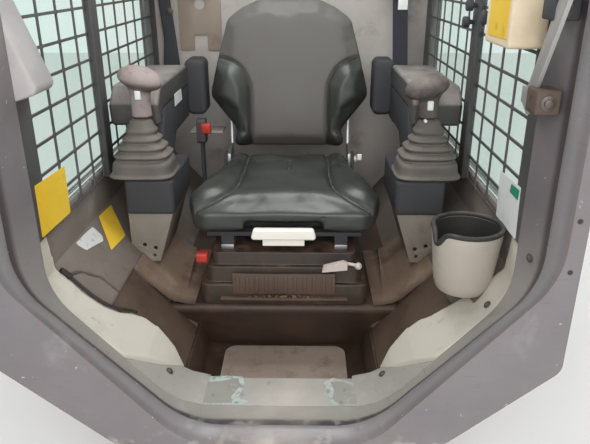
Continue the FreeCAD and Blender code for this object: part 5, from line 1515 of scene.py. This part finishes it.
class CAB_OT_plates(bpy.types.Operator):
    """Fix the blank yellow and white plates"""
    bl_idname = "cab.plates"
    bl_label = "Blank plates"

    def execute(self, context):
        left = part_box("screen_left")[1].x
        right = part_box("screen_right")[0].x
        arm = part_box("armrest_left")[1].x
        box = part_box("side_box")[0]
        slope = (0.749, 0.0, 0.663)
        for finish_name, slot_name, rows in (
            ("yellow_plate", "side_box", (
                ("plate_screen", [(left, y, z) for y, z in LEFT_SIGN], (1, 0, 0), 0.003),
                ("plate_panel", [on_panel(x, y, 1.5) for x, y in PANEL_SIGN], slope, 0.004),
                ("plate_box", [(box.x, y, z) for y, z in BOX_SIGN], (-1, 0, 0), 0.003),
            )),
            ("white_plate", "seat_controls", (
                ("plate_right", [(right, y, z) for y, z in RIGHT_SIGN], (-1, 0, 0), 0.003),
                ("plate_arm", [(arm, y, z) for y, z in ARM_SIGN], (1, 0, 0), 0.003),
            )),
            ("green_plate", "side_box", (
                ("plate_green", [(right - 0.0012, y, z) for y, z in GREEN_SIGN], (-1, 0, 0), 0.002),
            )),
            ("worn_patch", "lower_panel_left", (
                ("worn_place", [on_panel(x, y, 0.5) for x, y in WORN_PLACE], slope, 0.004),
            )),
        ):
            pieces = [patch(name, corners, 0.0012, facing, radius) for name, corners, facing, radius in rows]
            place_on(join(finish_name + "s", pieces), "cab", SLOT_OF[slot_name], finish_name)
        return {"FINISHED"}


class CAB_OT_bar(bpy.types.Operator):
    """Finish the restraint bar and its pad"""
    bl_idname = "cab.bar"
    bl_label = "Restraint bar"

    def execute(self, context):
        dress((("restraint_bar", "black_bar_paint", 1.0, 2), ("bar_pad", "rubber", 4.0, 3)))
        return {"FINISHED"}


STEPS = ("groups", "stage", "front_frame", "shell", "screens", "floor", "trims", "consoles", "levers", "seat_base",
         "seat_cushion", "backrest", "belt", "fittings", "plates", "bar")


class CAB_PT_panel(bpy.types.Panel):
    """Lists the sizes and the steps of the cab"""
    bl_idname = "CAB_PT_panel"
    bl_label = "Operator cab"
    bl_space_type = "VIEW_3D"
    bl_region_type = "UI"
    bl_category = "Cab"

    def draw(self, context):
        for group in (context.scene.cab_sizes, context.scene.cab_colours):
            for name in group.__annotations__:
                self.layout.prop(group, name)
        for step in STEPS:
            self.layout.operator("cab." + step)


CLASSES = (
    CabSizes, CabColours, CAB_OT_groups, CAB_OT_stage, CAB_OT_front_frame, CAB_OT_shell, CAB_OT_screens,
    CAB_OT_floor, CAB_OT_trims, CAB_OT_consoles, CAB_OT_levers, CAB_OT_seat_base, CAB_OT_seat_cushion,
    CAB_OT_backrest, CAB_OT_belt, CAB_OT_fittings, CAB_OT_plates, CAB_OT_bar, CAB_PT_panel,
)


def register():
    for item in CLASSES:
        bpy.utils.register_class(item)
    bpy.types.Scene.cab_sizes = PointerProperty(type=CabSizes)
    bpy.types.Scene.cab_colours = PointerProperty(type=CabColours)


def unregister():
    del bpy.types.Scene.cab_colours
    del bpy.types.Scene.cab_sizes
    for item in reversed(CLASSES):
        bpy.utils.unregister_class(item)


def corners(box):
    return [list(corner) for corner in box]


def main():
    register()
    for step in STEPS:
        getattr(bpy.ops.cab, step)()


if __name__ == "__main__":
    main()
